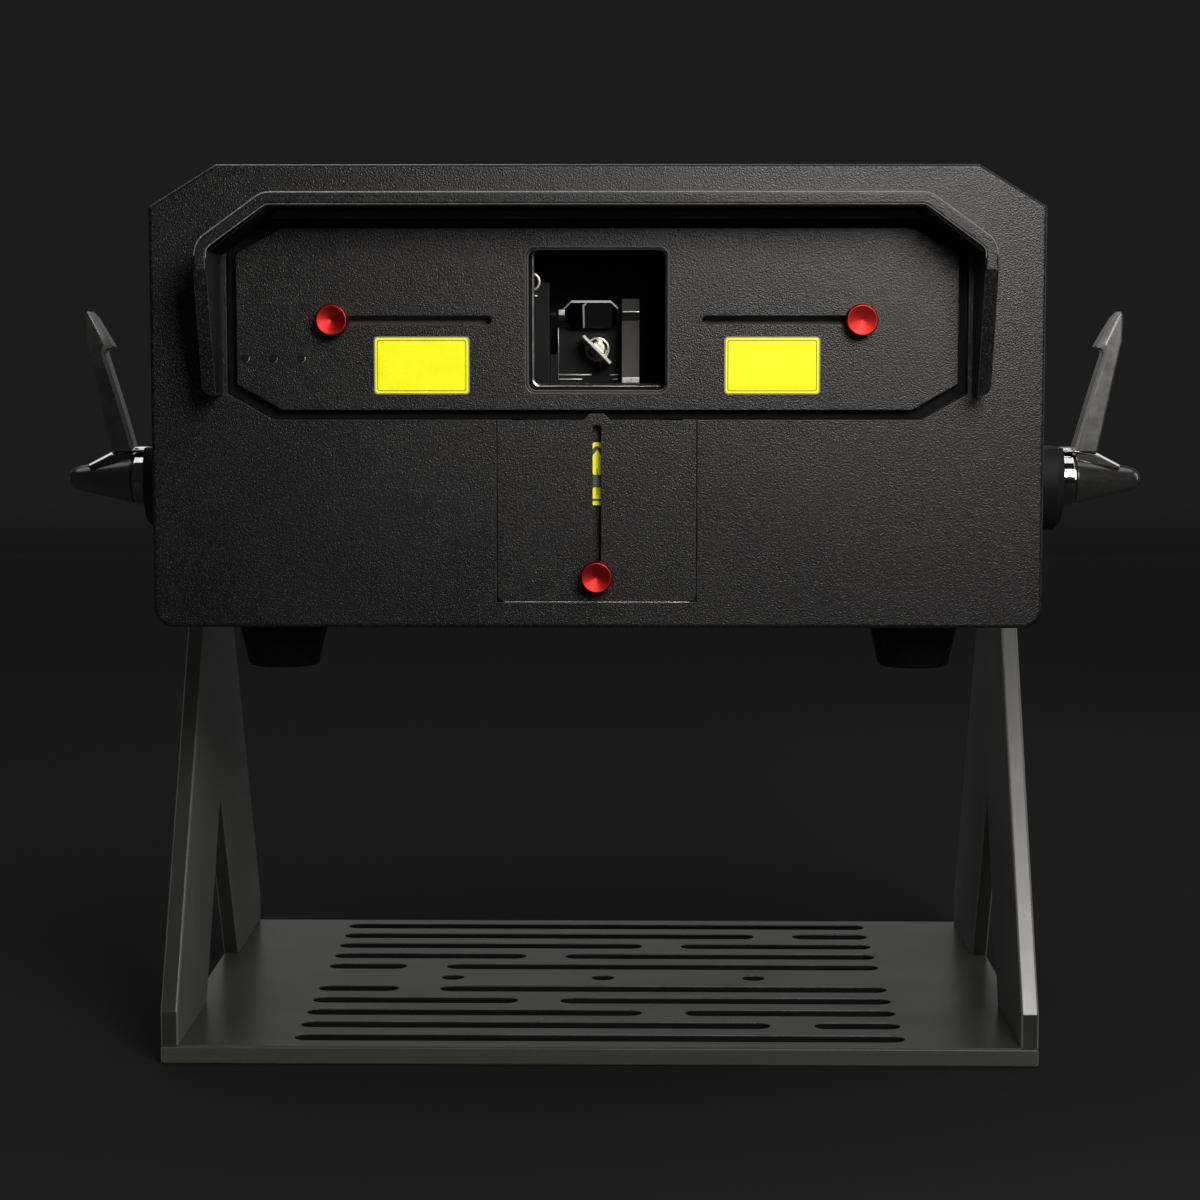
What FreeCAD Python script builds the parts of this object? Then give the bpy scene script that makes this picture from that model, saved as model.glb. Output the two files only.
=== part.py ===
import FreeCAD, Part
import math
import os
import re

import Sketcher

# Laser show projector on a slotted yoke, in millimetres.
# X runs to the right of someone facing the aperture, the aperture looks along -Y and Z is up.
# The origin is the centre of the middle mounting hole, on the underside of the base plate.
# Heights of the head's pieces are measured from the tilt axis.

doc = FreeCAD.newDocument("LaserProjector")
sheet = doc.addObject("Spreadsheet::Sheet", "Sizes")

OUTER_ROW = 5

SIZES = {
    # Base plate
    "plate_width": 380,
    "plate_depth": 262,
    "plate_thickness": 8,
    "plate_edge_break": 0.8,
    "slot_edge_margin": 16,
    "slot_width": 12,
    "slot_side_margin": 56,
    "slot_bridge": 19.3,
    "mount_hole_diameter": 11,
    "mount_hole_spacing": 72,
    # Legs
    "leg_thickness": 7.5,
    "leg_shoulder": 15,
    "leg_neck": 183,
    "leg_head_radius": 38,
    "leg_edge_break": 0.6,
    "cutout_base": 103,
    "cutout_height": 88.5,
    "cutout_apex": 4,
    "pivot_height": 239.5,
    "leg_screw_diameter": 4,
    "leg_screw_head_diameter": 7,
    "leg_screw_head_height": 3,
    "leg_screw_grip": 14,
    "leg_screw_margin": 20.5,
    "leg_screw_edge": 19,
    "screw_clearance": 0.05,
    "overrun": 1,
    # Pivots and clamp levers
    "stud_diameter": 12,
    "stud_engagement": 10,
    "running_clearance": 0.05,
    "spacer_radius": 24,
    "spacer_length": 24,
    "spacer_chamfer": 3,
    "face_gap": 0.2,
    "collar_radius": 12.5,
    "collar_length": 7,
    "collar_chamfer": 1.2,
    "hub_length": 31,
    "hub_base_radius": 11.5,
    "hub_nose_radius": 5.3,
    "hub_nose_start": 27.5,
    "arm_height": 78.5,
    "arm_breadth": 13,
    "arm_root_width": 11.5,
    "arm_top_reach": 21,
    "arm_width": 9,
    "arm_edge": 1.2,
    "hook_drop": 17,
    "hook_depth": 3.2,
    "lip_rise": 15,
    "lip_thickness": 2.6,
    "lip_reach": 21,
    "lip_fall": 7.6,
    # Bezel
    "bezel_side_gap": 0.5,
    "bezel_front": 177,
    "bezel_drop": 52,
    "bezel_rise": 136.3,
    "bezel_thickness": 14,
    "bezel_chamfer_width": 27.5,
    "bezel_chamfer_height": 17,
    "bezel_corner_radius": 8,
    "bezel_edge_radius": 1.6,
    # Aperture panel in its groove
    "panel_side_margin": 35.5,
    "panel_low": 37.2,
    "panel_height": 73.4,
    "panel_chamfer_width": 18.5,
    "panel_chamfer_height": 10.5,
    "panel_thickness": 6,
    "panel_ledge": 4,
    "groove_width": 4,
    "aperture_width": 57,
    "aperture_height": 58,
    "aperture_radius": 3.2,
    "aperture_middle": 73.6,
    # Lower cover plate
    "cover_width": 81.2,
    "cover_height": 74,
    "cover_thickness": 4,
    "cover_radius": 3,
    "cover_seam": 0.3,
    "cover_tab_width": 11.4,
    "cover_tab_height": 2.8,
    "channel_width": 70,
    "channel_ledge": 1.5,
    # Visor hood
    "hood_side_margin": 24.5,
    "hood_rise": 123.5,
    "hood_corner_run": 27,
    "hood_corner_drop": 19.5,
    "hood_low": 43.5,
    "hood_wall": 5.2,
    "hood_reach": 40,
    "hood_end_reach": 20,
    "hood_corner_radius": 11,
    "hood_inner_radius": 4,
    "hood_end_radius": 3.8,
    "hood_edge_radius": 1,
    # Shutters, studs and knobs
    "knob_side_margin": 39.5,
    "slot_inner_margin": 16,
    "shutter_thickness": 2,
    "shutter_overlap": 2.2,
    "shutter_tail": 11,
    "lower_rest_drop": 30.6,
    "lower_travel": 60,
    "lower_overlap": 1.5,
    "lower_tail": 7,
    "shutter_stud_diameter": 3,
    "shutter_slot_clearance": 0.25,
    "knob_diameter": 13,
    "knob_length": 9,
    "knob_edge": 0.8,
    "knob_gap": 0.4,
    "knob_bore_depth": 6,
    "arrow_width": 3,
    "arrow_thickness": 0.25,
    "arrow_length": 26,
    "arrow_rise": 11,
    # Shutter guide and window glass
    "guide_thickness": 3,
    "guide_margin": 3,
    "guide_window": 60,
    "glass_size": 68,
    "glass_thickness": 2.5,
    # Labels and indicator lights
    "label_width": 39,
    "label_height": 23.5,
    "label_thickness": 0.6,
    "label_radius": 1.5,
    "label_offset": 71.2,
    "label_middle": 55.2,
    "led_diameter": 3,
    "led_pitch": 11.4,
    "led_margin": 14.9,
    "led_height": 58,
    "led_recess": 0.8,
    "led_clearance": 0.05,
    # Housing
    "washer_thickness": 4.3,
    "housing_inset": 3.5,
    "housing_length": 359,
    "side_thickness": 6,
    "bottom_thickness": 8,
    "top_thickness": 3,
    "rear_thickness": 4,
    "boss_radius": 18,
    "boss_length": 14,
    "washer_radius": 20,
    "vent_length": 60,
    "vent_width": 6,
    "vent_pitch": 14,
    "vent_start": 70,
    "vent_middle": 60,
    "rear_screw_diameter": 3,
    "rear_screw_grip": 9,
    "rear_screw_head_radius": 3,
    "rear_screw_head_height": 2,
    # Feet
    "foot_top_radius": 20,
    "foot_base_radius": 15,
    "foot_height": 22.6,
    "foot_edge": 1,
    "foot_margin": 45,
    "foot_front": 142,
    "foot_rear": 160,
    "foot_recess_radius": 7,
    "foot_recess_depth": 9,
    "foot_screw_radius": 5,
    "foot_screw_head": 4,
    "foot_screw_shank": 2.5,
    "foot_screw_grip": 6,
    # Optical bench
    "bench_top": 47.5,
    "bench_thickness": 10,
    "bench_margin": 22,
    "bench_front": 152,
    "bench_rear": 150,
    "bench_post_radius": 6,
    "bench_post_inset": 14,
    # Scanner
    "beam_height": 14,
    "scan_x": -0.4,
    "scan_y": 138,
    "block_width": 28,
    "block_height": 23.5,
    "block_length": 40,
    "block_front": 128,
    "wing_width": 34,
    "wing_gap": 3,
    "wing_depth": 22,
    "galvo_radius": 6.5,
    "galvo_length": 46,
    "galvo_shaft_radius": 1.5,
    "holder_radius": 5.3,
    "holder_length": 5,
    "small_mirror_length": 14,
    "small_mirror_depth": 9,
    "mirror_thickness": 1.4,
    "large_mirror_length": 23.3,
    "large_mirror_width": 15.2,
    "large_mirror_corner": 4,
    "large_axis_rise": 14.6,
    "port_width": 7.2,
    "port_depth": 18,
    "port_height": 35,
    "port_left": 10,
    "port_groove_low": 26,
    "port_groove_height": 3.4,
    "port_groove_depth": 3,
    "port_bore_radius": 2.5,
    # Laser modules and combining mirrors
    "module_width": 56,
    "module_length": 80,
    "module_height": 44,
    "module_front": 10,
    "module_pitch": 76,
    "nozzle_radius": 5,
    "nozzle_length": 8,
    "combiner_row": 35,
    "fold_margin": 38,
    "optic_size": 14,
    "optic_thickness": 2,
    "optic_height": 16,
    "optic_base": 16,
    "optic_base_height": 5,
    "sink_margin": 35,
    "sink_length": 50,
    "sink_base": 6,
    "sink_height": 50,
    "sink_front": 96,
    "fin_thickness": 3,
    # Electronics under the bench
    "supply_margin": 10,
    "supply_length": 170,
    "supply_height": 50,
    "supply_wall": 1.6,
    "supply_front": 60,
    "board_margin": 5,
    "board_length": 100,
    "board_thickness": 1.6,
    "board_lift": 8,
    "board_post_radius": 3,
    "board_post_inset": 5,
    "board_left": 25,
    "board_part_height": 12,
    "board_part_width": 26,
    # Fans
    "fan_size": 80,
    "fan_depth": 25,
    "fan_margin": 78,
    "fan_rise": 62,
    "fan_bore_radius": 38,
    "fan_motor_radius": 15,
    "fan_motor_depth": 6,
    "fan_strut_width": 5,
    "fan_shaft_radius": 2.5,
    "fan_shaft_length": 14,
    "rotor_gap": 0.5,
    "rotor_length": 15,
    "blade_radius": 36,
    "blade_thickness": 1.6,
    "guard_wire": 2,
    "guard_depth": 2.4,
    "guard_margin": 2.4,
    "guard_step": 11,
    # Rear fittings
    "fitting_height": -14,
    "flange_thickness": 2.5,
    "fitting_clearance": 0.2,
    "inlet_margin": 42,
    "inlet_width": 48,
    "inlet_height": 30,
    "inlet_body_width": 30,
    "inlet_body_height": 24,
    "inlet_body_depth": 22,
    "inlet_pocket_depth": 16,
    "inlet_wall": 2.5,
    "rocker_step": 40,
    "rocker_frame_width": 24,
    "rocker_frame_height": 30,
    "rocker_wall": 2,
    "rocker_depth": 18,
    "rocker_swing_gap": 0.3,
    "rocker_end_gap": 1.2,
    "rocker_pin_radius": 1.5,
    "rocker_sink": 2.5,
    "rocker_stand": 5.5,
    "rocker_dip": 3.5,
    "key_offset": 0,
    "key_height": 62,
    "key_flange_radius": 12,
    "key_barrel_radius": 9,
    "key_barrel_depth": 24,
    "key_plug_radius": 5,
    "key_plug_depth": 10,
    "key_bow_width": 22,
    "key_bow_height": 20,
    "key_bow_thickness": 2.4,
    "key_neck": 9,
    "data_offset": -40,
    "data_pitch": 36,
    "data_flange_width": 26,
    "data_flange_height": 31,
    "data_radius": 11,
    "data_depth": 20,
    "data_wall": 1.6,
    "ilda_margin": 62,
    "ilda_width": 54,
    "ilda_height": 13,
    "ilda_shell_width": 39,
    "ilda_shell_height": 8.6,
    "ilda_depth": 10,
    "ilda_stand": 6,
    "eyelet_height": 108,
    "eyelet_ring_radius": 11,
    "eyelet_wire": 3,
    "eyelet_base_radius": 9,
    "eyelet_base_height": 4,
    "eyelet_shank_radius": 4,
    "eyelet_shank_length": 10,
}

# Widths and places that follow from the sizes above
DERIVED = {
    "slot_pitch": "(plate_depth - 2 * slot_edge_margin) / (2 * %d)" % OUTER_ROW,
    "slot_span": "plate_width - 2 * slot_side_margin",
    "leg_screw_inner": "cutout_base / 2 + leg_screw_margin",
    "leg_screw_outer": "plate_depth / 2 - leg_screw_edge",
    "bezel_width": "plate_width - 2 * (leg_thickness + bezel_side_gap)",
    "panel_width": "bezel_width - 2 * panel_side_margin",
    "hood_width": "bezel_width - 2 * hood_side_margin",
    "hood_top_width": "hood_width - 2 * hood_corner_run",
    "shutter_rest": "panel_width / 2 - knob_side_margin",
    "shutter_travel": "shutter_rest - aperture_width / 2 - slot_inner_margin",
    "led_offset": "panel_width / 2 - led_margin",
    "housing_width": "plate_width - 2 * (leg_thickness + face_gap + washer_thickness)",
    "foot_offset": "housing_width / 2 - foot_margin",
    "bench_width": "housing_width - 2 * (side_thickness + bench_margin)",
    "fold_offset": "bench_width / 2 - fold_margin",
    "sink_width": "bench_width - 2 * sink_margin",
    "supply_width": "bench_width / 2 - supply_margin",
    "board_width": "bench_width / 2 - board_left - board_margin",
    "fan_offset": "housing_width / 2 - fan_margin",
    "inlet_offset": "inlet_margin - housing_width / 2",
    "rocker_offset": "inlet_margin + rocker_step - housing_width / 2",
    "ilda_offset": "housing_width / 2 - ilda_margin",
}

for row, (alias, value) in enumerate(SIZES.items(), start=1):
    sheet.set("A%d" % row, alias)
    sheet.set("B%d" % row, str(value))
    sheet.setAlias("B%d" % row, alias)
doc.recompute()

# Places that several pieces share, worked out from the sizes above
PIVOT_Z = "(plate_thickness + pivot_height)"
LEG_OUTER = "(plate_width / 2)"
LEG_INNER = "(plate_width / 2 - leg_thickness)"
COLLAR_START = "(plate_width / 2 + spacer_length + face_gap)"
HUB_START = "(plate_width / 2 + spacer_length + face_gap + collar_length)"
STUD_START = "(housing_width / 2 - side_thickness - stud_engagement)"
BEZEL_BACK = "(bezel_thickness - bezel_front)"
PANEL_BACK = "(panel_thickness - bezel_front)"
PANEL_TOP = "(panel_low + panel_height)"
SLIDE_GAP = "((bezel_thickness - panel_thickness - 3 * shutter_thickness) / 4)"
SHUTTER_STEP = "(%s + shutter_thickness)" % SLIDE_GAP
KNOB_BACK = "(bezel_front + knob_gap)"
COVER_TOP = "(panel_low - groove_width - cover_seam)"
COVER_LOW = "(panel_low - groove_width - cover_seam - cover_height)"
HOUSING_REAR = "(bezel_thickness - bezel_front + housing_length)"
HOUSING_LOW = "(housing_inset - bezel_drop)"
HOUSING_TOP = "(bezel_rise - housing_inset)"
SHOULDER = "(bezel_rise - bezel_chamfer_height - housing_inset)"
FLOOR = "(housing_inset - bezel_drop + bottom_thickness)"
REAR_FACE = "(bezel_thickness - bezel_front + housing_length + rear_thickness)"
INNER_HALF = "(housing_width / 2 - side_thickness)"
GUIDE_BACK = "(bezel_thickness - bezel_front + guide_thickness)"
BEAM = "(bench_top + beam_height)"
LARGE_AXIS = "(bench_top + beam_height + large_axis_rise)"
STUD_BORE = "(stud_diameter / 2 + running_clearance)"

AXIS_TURN = {
    "Z": FreeCAD.Rotation(),
    "X": FreeCAD.Rotation(FreeCAD.Vector(0, 1, 0), 90),
    "-X": FreeCAD.Rotation(FreeCAD.Vector(0, 1, 0), -90),
    "Y": FreeCAD.Rotation(FreeCAD.Vector(1, 0, 0), -90),
    "-Y": FreeCAD.Rotation(FreeCAD.Vector(1, 0, 0), 90),
}

nodes = []
SAME_PLACE_SHARE = 1e-4


# Helpers that bind sizes to the sheet

def cells(expression):
    """Write out derived names and point every size in an expression at its cell."""
    def written(match):
        name = match.group(0)
        if name in DERIVED:
            return "(" + cells(DERIVED[name]) + ")"
        return "Sizes." + name if name in SIZES else name

    return re.sub(r"[a-z_][a-z_0-9]*", written, expression)


def number(expression):
    """Value of an expression with the present sizes."""
    result = sheet.evalExpression(cells(expression))
    return float(getattr(result, "Value", result))


def bind(thing, name, expression):
    thing.setExpression(name, cells(expression))


def place(thing, spot, rotation=None):
    """Put a thing's origin at a spot given as three expressions."""
    if rotation is not None:
        thing.Placement = FreeCAD.Placement(FreeCAD.Vector(), rotation)
    for axis, expression in zip("xyz", spot):
        bind(thing, "Placement.Base." + axis, expression)
    return thing


def node(thing, label):
    """Name a finished sub-part."""
    thing.Label = label
    nodes.append(thing)
    return thing


# Helpers for primitives and booleans

def box(name, low, size, rotation=None):
    thing = doc.addObject("Part::Box", name)
    for prop, expression in zip(("Length", "Width", "Height"), size):
        bind(thing, prop, expression)
    return place(thing, low, rotation)


def cylinder(name, spot, radius, height, axis="Z"):
    thing = doc.addObject("Part::Cylinder", name)
    bind(thing, "Radius", radius)
    bind(thing, "Height", height)
    return place(thing, spot, AXIS_TURN[axis])


def torus(name, spot, radius, wire, axis="Z"):
    thing = doc.addObject("Part::Torus", name)
    bind(thing, "Radius1", radius)
    bind(thing, "Radius2", wire)
    return place(thing, spot, AXIS_TURN[axis])


def fuse(name, things):
    thing = doc.addObject("Part::MultiFuse", name)
    thing.Shapes = things
    thing.Refine = True
    return thing


def cut(name, base, tools):
    tool = tools[0]
    if len(tools) > 1:
        tool = fuse(name + "_tools", tools)
    thing = doc.addObject("Part::Cut", name)
    thing.Base = base
    thing.Tool = tool
    thing.Refine = True
    return thing


def group(name, things):
    thing = doc.addObject("Part::Compound", name)
    thing.Links = things
    return thing


# Helpers for sketched bodies

def make_body(name, spot, rotation=None):
    body = doc.addObject("PartDesign::Body", name)
    return place(body, spot, rotation)


def add_sketch(body, name, plane, offset=None):
    """Empty sketch on one of the body's own origin planes, moved along its normal."""
    sketch = body.newObject("Sketcher::SketchObject", name)
    support = [f for f in body.Origin.OriginFeatures if f.Role == plane][0]
    sketch.AttachmentSupport = [(support, "")]
    sketch.MapMode = "FlatFace"
    if offset is not None:
        bind(sketch, "AttachmentOffset.Base.z", offset)
    return sketch


def fix_point(sketch, geometry, corner, spot):
    """Tie a point of the sketch to two expressions."""
    axes = (("DistanceX", -2), ("DistanceY", -1))
    for (kind, axis_line), expression in zip(axes, spot):
        if expression == "0":
            sketch.addConstraint(Sketcher.Constraint("PointOnObject", geometry, corner, axis_line))
            continue
        value = number(expression)
        index = sketch.addConstraint(Sketcher.Constraint(kind, -1, 1, geometry, corner, value))
        bind(sketch, "Constraints[%d]" % index, expression)


def outline(sketch, points, arcs=None):
    """Closed outline through points; arcs maps a segment to (axis, centre place, turn)."""
    arcs = arcs or {}
    first = sketch.GeometryCount
    spots = [FreeCAD.Vector(number(x), number(y), 0) for x, y in points]
    count = len(points)
    starts = []
    ends = []
    for i in range(count):
        a = spots[i]
        b = spots[(i + 1) % count]
        if i not in arcs:
            sketch.addGeometry(Part.LineSegment(a, b))
            starts.append(1)
            ends.append(2)
            continue
        axis, expression, turn = arcs[i]
        known = number(expression)
        if axis == "x":
            level = (a.y ** 2 - b.y ** 2 + (a.x - known) ** 2 - (b.x - known) ** 2) / (2 * (a.y - b.y))
            centre = FreeCAD.Vector(known, level, 0)
        else:
            level = (a.x ** 2 - b.x ** 2 + (a.y - known) ** 2 - (b.y - known) ** 2) / (2 * (a.x - b.x))
            centre = FreeCAD.Vector(level, known, 0)
        circle = Part.Circle(centre, FreeCAD.Vector(0, 0, 1), (a - centre).Length)
        begin, finish = (a, b) if turn == "left" else (b, a)
        low = math.atan2(begin.y - centre.y, begin.x - centre.x)
        high = math.atan2(finish.y - centre.y, finish.x - centre.x)
        if high <= low:
            high += 2 * math.pi
        sketch.addGeometry(Part.ArcOfCircle(circle, low, high))
        starts.append(1 if turn == "left" else 2)
        ends.append(2 if turn == "left" else 1)
    for i in range(count):
        j = (i + 1) % count
        sketch.addConstraint(Sketcher.Constraint("Coincident", first + i, ends[i], first + j, starts[j]))
    for i, spot in enumerate(points):
        fix_point(sketch, first + i, starts[i], spot)
    for i, (axis, expression, turn) in arcs.items():
        if expression == "0":
            line = -2 if axis == "x" else -1
            sketch.addConstraint(Sketcher.Constraint("PointOnObject", first + i, 3, line))
            continue
        kind = "DistanceX" if axis == "x" else "DistanceY"
        index = sketch.addConstraint(Sketcher.Constraint(kind, -1, 1, first + i, 3, number(expression)))
        bind(sketch, "Constraints[%d]" % index, expression)


def rectangle(sketch, left, right, low, high):
    outline(sketch, [(left, low), (right, low), (right, high), (left, high)])


def rounded_rectangle(sketch, left, right, low, high, radius):
    points = [
        ("%s + %s" % (left, radius), low), ("%s - %s" % (right, radius), low),
        (right, "%s + %s" % (low, radius)), (right, "%s - %s" % (high, radius)),
        ("%s - %s" % (right, radius), high), ("%s + %s" % (left, radius), high),
        (left, "%s - %s" % (high, radius)), (left, "%s + %s" % (low, radius)),
    ]
    arcs = {
        1: ("x", "%s - %s" % (right, radius), "left"), 3: ("x", "%s - %s" % (right, radius), "left"),
        5: ("x", "%s + %s" % (left, radius), "left"), 7: ("x", "%s + %s" % (left, radius), "left"),
    }
    outline(sketch, points, arcs)


def slot(sketch, left, right, middle, radius):
    """Level slot whose round ends are centred at left and right."""
    low = "%s - %s" % (middle, radius)
    high = "%s + %s" % (middle, radius)
    outline(sketch, [(left, low), (right, low), (right, high), (left, high)],
            {1: ("x", right, "left"), 3: ("x", left, "left")})


def upright_slot(sketch, middle, low, high, radius):
    """Upright slot whose round ends are centred at low and high."""
    left = "%s - %s" % (middle, radius)
    right = "%s + %s" % (middle, radius)
    outline(sketch, [(left, low), (right, low), (right, high), (left, high)],
            {0: ("y", low, "left"), 2: ("y", high, "left")})


def circle(sketch, spot, radius):
    index = sketch.addGeometry(Part.Circle(FreeCAD.Vector(number(spot[0]), number(spot[1]), 0),
                                           FreeCAD.Vector(0, 0, 1), number(radius)))
    fix_point(sketch, index, 3, spot)
    tie = sketch.addConstraint(Sketcher.Constraint("Radius", index, number(radius)))
    bind(sketch, "Constraints[%d]" % tie, radius)


def octagon(sketch, half, low, high, run, rise):
    """Rectangle of the given half width with all four corners cut off."""
    inner = "%s - %s" % (half, run)
    outline(sketch, [
        ("-(%s)" % inner, low), (inner, low), (half, "%s + %s" % (low, rise)),
        (half, "%s - %s" % (high, rise)),
        (inner, high), ("-(%s)" % inner, high), ("-(%s)" % half, "%s - %s" % (high, rise)),
        ("-(%s)" % half, "%s + %s" % (low, rise)),
    ])


def pad(body, sketch, length, reverse=False):
    feature = body.newObject("PartDesign::Pad", sketch.Name + "_pad")
    feature.Profile = sketch
    bind(feature, "Length", length)
    feature.Reversed = reverse
    doc.recompute()
    return feature


def pocket(body, sketch, depth, reverse=False):
    """Cut a sketch into the body and make sure that something was cut."""
    before = body.Shape.Volume
    feature = body.newObject("PartDesign::Pocket", sketch.Name + "_pocket")
    feature.Profile = sketch
    bind(feature, "Length", depth)
    feature.Reversed = reverse
    doc.recompute()
    if not body.Shape.Volume < before:
        raise ValueError("nothing was cut by " + sketch.Name)
    return feature


def round_edges(body, feature, keep, radius, kind="Fillet"):
    """Fillet or chamfer the edges of a feature that pass a test."""
    doc.recompute()
    names = []
    for i, edge in enumerate(feature.Shape.Edges, start=1):
        if keep(edge):
            names.append("Edge%d" % i)
    result = body.newObject("PartDesign::" + kind, feature.Name + "_" + kind.lower())
    result.Base = (feature, names)
    bind(result, "Radius" if kind == "Fillet" else "Size", radius)
    doc.recompute()
    return result


def turned(name, profile, spot, axis, arcs=None):
    """Piece turned about an axis, from points given as (radius, distance along the axis)."""
    body = make_body(name, spot, AXIS_TURN[axis])
    sketch = add_sketch(body, name + "_profile", "XZ_Plane")
    outline(sketch, profile, arcs)
    feature = body.newObject("PartDesign::Revolution", name + "_turn")
    feature.Profile = sketch
    feature.ReferenceAxis = (sketch, ["V_Axis"])
    feature.Angle = 360
    doc.recompute()
    return body


def on_level(edge, axis, value):
    """True if the whole edge lies at one coordinate."""
    near = number("overrun") * SAME_PLACE_SHARE
    return all(abs(getattr(v.Point, axis) - value) < near for v in edge.Vertexes)


def along(edge, axis):
    """True for a straight edge along an axis of the body."""
    if len(edge.Vertexes) < 2 or edge.Curve.TypeId != "Part::GeomLine":
        return False
    return abs(abs(getattr(edge.Curve.Direction, axis)) - 1) < 1e-6


# Yoke

GAP_CENTRE_SHARES = {1: -0.322, 2: -0.108, 3: 0.106, 4: 0.32}


def base_plate():
    body = make_body("base_plate", ("0", "0", "0"))
    sketch = add_sketch(body, "plate_outline", "XY_Plane")
    rectangle(sketch, "-plate_width / 2", "plate_width / 2", "-plate_depth / 2", "plate_depth / 2")
    solid = pad(body, sketch, "plate_thickness")
    top = number("plate_thickness")
    round_edges(body, solid, lambda e: on_level(e, "z", top) or on_level(e, "z", 0), "plate_edge_break",
                "Chamfer")
    cuts = add_sketch(body, "plate_slots", "XY_Plane", "plate_thickness")
    end = "(slot_span / 2 - slot_width / 2)"
    for row in range(-OUTER_ROW, OUTER_ROW + 1):
        level = "%d * slot_pitch" % row
        if row == 0:
            continue
        if abs(row) == OUTER_ROW:
            slot(cuts, "-" + end, end, level, "slot_width / 2")
            continue
        share = GAP_CENTRE_SHARES[abs(row)]
        near = "(%r * slot_span - slot_bridge / 2 - slot_width / 2)" % share
        far = "(%r * slot_span + slot_bridge / 2 + slot_width / 2)" % share
        slot(cuts, "-" + end, near, level, "slot_width / 2")
        slot(cuts, far, end, level, "slot_width / 2")
    for place_across in ("-mount_hole_spacing", "0", "mount_hole_spacing"):
        circle(cuts, (place_across, "0"), "mount_hole_diameter / 2")
    pocket(body, cuts, "plate_thickness + overrun")
    holes = add_sketch(body, "plate_screw_holes", "XY_Plane", "plate_thickness")
    heads = add_sketch(body, "plate_screw_heads", "XY_Plane", "leg_screw_head_height")
    for spot in screw_places():
        circle(holes, spot, "leg_screw_diameter / 2 + screw_clearance")
        circle(heads, spot, "leg_screw_head_diameter / 2 + screw_clearance")
    pocket(body, holes, "plate_thickness + overrun")
    pocket(body, heads, "leg_screw_head_height + overrun")
    return node(body, "base_plate")


def screw_places():
    """Where the screws come up through the base plate into the legs."""
    across = "(plate_width / 2 - leg_thickness / 2)"
    spots = []
    for side in ("-", ""):
        for depth in ("-leg_screw_outer", "-leg_screw_inner", "leg_screw_inner", "leg_screw_outer"):
            spots.append((side + across, depth))
    return spots


def leg(label, left_face):
    body = make_body(label, (left_face, "0", "plate_thickness"))
    sketch = add_sketch(body, label + "_outline", "YZ_Plane")
    half = "plate_depth / 2"
    points = [
        ("-" + half, "0"), ("-cutout_base / 2", "0"),
        ("-cutout_apex / 2", "cutout_height - cutout_apex / 2"),
        ("cutout_apex / 2", "cutout_height - cutout_apex / 2"), ("cutout_base / 2", "0"), (half, "0"),
        (half, "leg_shoulder"), ("leg_head_radius", "leg_neck"), ("leg_head_radius", "pivot_height"),
        ("-leg_head_radius", "pivot_height"), ("-leg_head_radius", "leg_neck"),
        ("-" + half, "leg_shoulder"),
    ]
    outline(sketch, points,
            {2: ("y", "cutout_height - cutout_apex / 2", "right"), 8: ("y", "pivot_height", "left")})
    solid = pad(body, sketch, "leg_thickness")
    thickness = number("leg_thickness")
    floor_level = 0.0

    def is_rim(edge):
        on_face = on_level(edge, "x", 0) or on_level(edge, "x", thickness)
        return on_face and not on_level(edge, "z", floor_level)

    round_edges(body, solid, is_rim, "leg_edge_break", "Chamfer")
    bore = add_sketch(body, label + "_pivot_bore", "YZ_Plane", "leg_thickness")
    circle(bore, ("0", "pivot_height"), STUD_BORE)
    pocket(body, bore, "leg_thickness + overrun")
    holes = add_sketch(body, label + "_screw_holes", "XY_Plane")
    for depth in ("-leg_screw_outer", "-leg_screw_inner", "leg_screw_inner", "leg_screw_outer"):
        circle(holes, ("leg_thickness / 2", depth), "leg_screw_diameter / 2 + screw_clearance")
    pocket(body, holes, "leg_screw_grip + overrun", reverse=True)
    return node(body, label)


def leg_screws():
    screws = []
    for i, (across, depth) in enumerate(screw_places()):
        head = cylinder("leg_screw_head_%d" % i, (across, depth, "0"), "leg_screw_head_diameter / 2",
                        "leg_screw_head_height")
        shank = cylinder("leg_screw_shank_%d" % i, (across, depth, "0"), "leg_screw_diameter / 2",
                         "plate_thickness + leg_screw_grip")
        screws.append(fuse("leg_screw_%d" % i, [head, shank]))
    return node(group("leg_screw_group", screws), "leg_screws")


def pivot_spacers():
    """Round spacers outside the legs, bored for the levers' studs and flat below the levers' lips."""
    outer = "(spacer_radius - spacer_chamfer)"
    profile = [
        (STUD_BORE, "0"), ("spacer_radius", "0"), ("spacer_radius", "spacer_length - spacer_chamfer"),
        (outer, "spacer_length"), (STUD_BORE, "spacer_length"),
    ]
    left = turned("left_spacer", profile, ("-" + LEG_OUTER, "0", PIVOT_Z), "-X")
    right = turned("right_spacer", profile, (LEG_OUTER, "0", PIVOT_Z), "X")
    spare = box("spacer_spare",
                ("-(plate_width / 2 + spacer_length + overrun)", "-(spacer_radius + overrun)",
                 PIVOT_Z + " + lip_rise"),
                ("plate_width + 2 * (spacer_length + overrun)", "2 * (spacer_radius + overrun)",
                 "spacer_radius"))
    trimmed = [cut("left_pivot_spacer", left, [spare]), cut("right_pivot_spacer", right, [spare])]
    return node(group("spacer_group", trimmed), "pivot_spacers")


# Clamp levers

ARM_NECK_SHARE = 0.76


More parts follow.
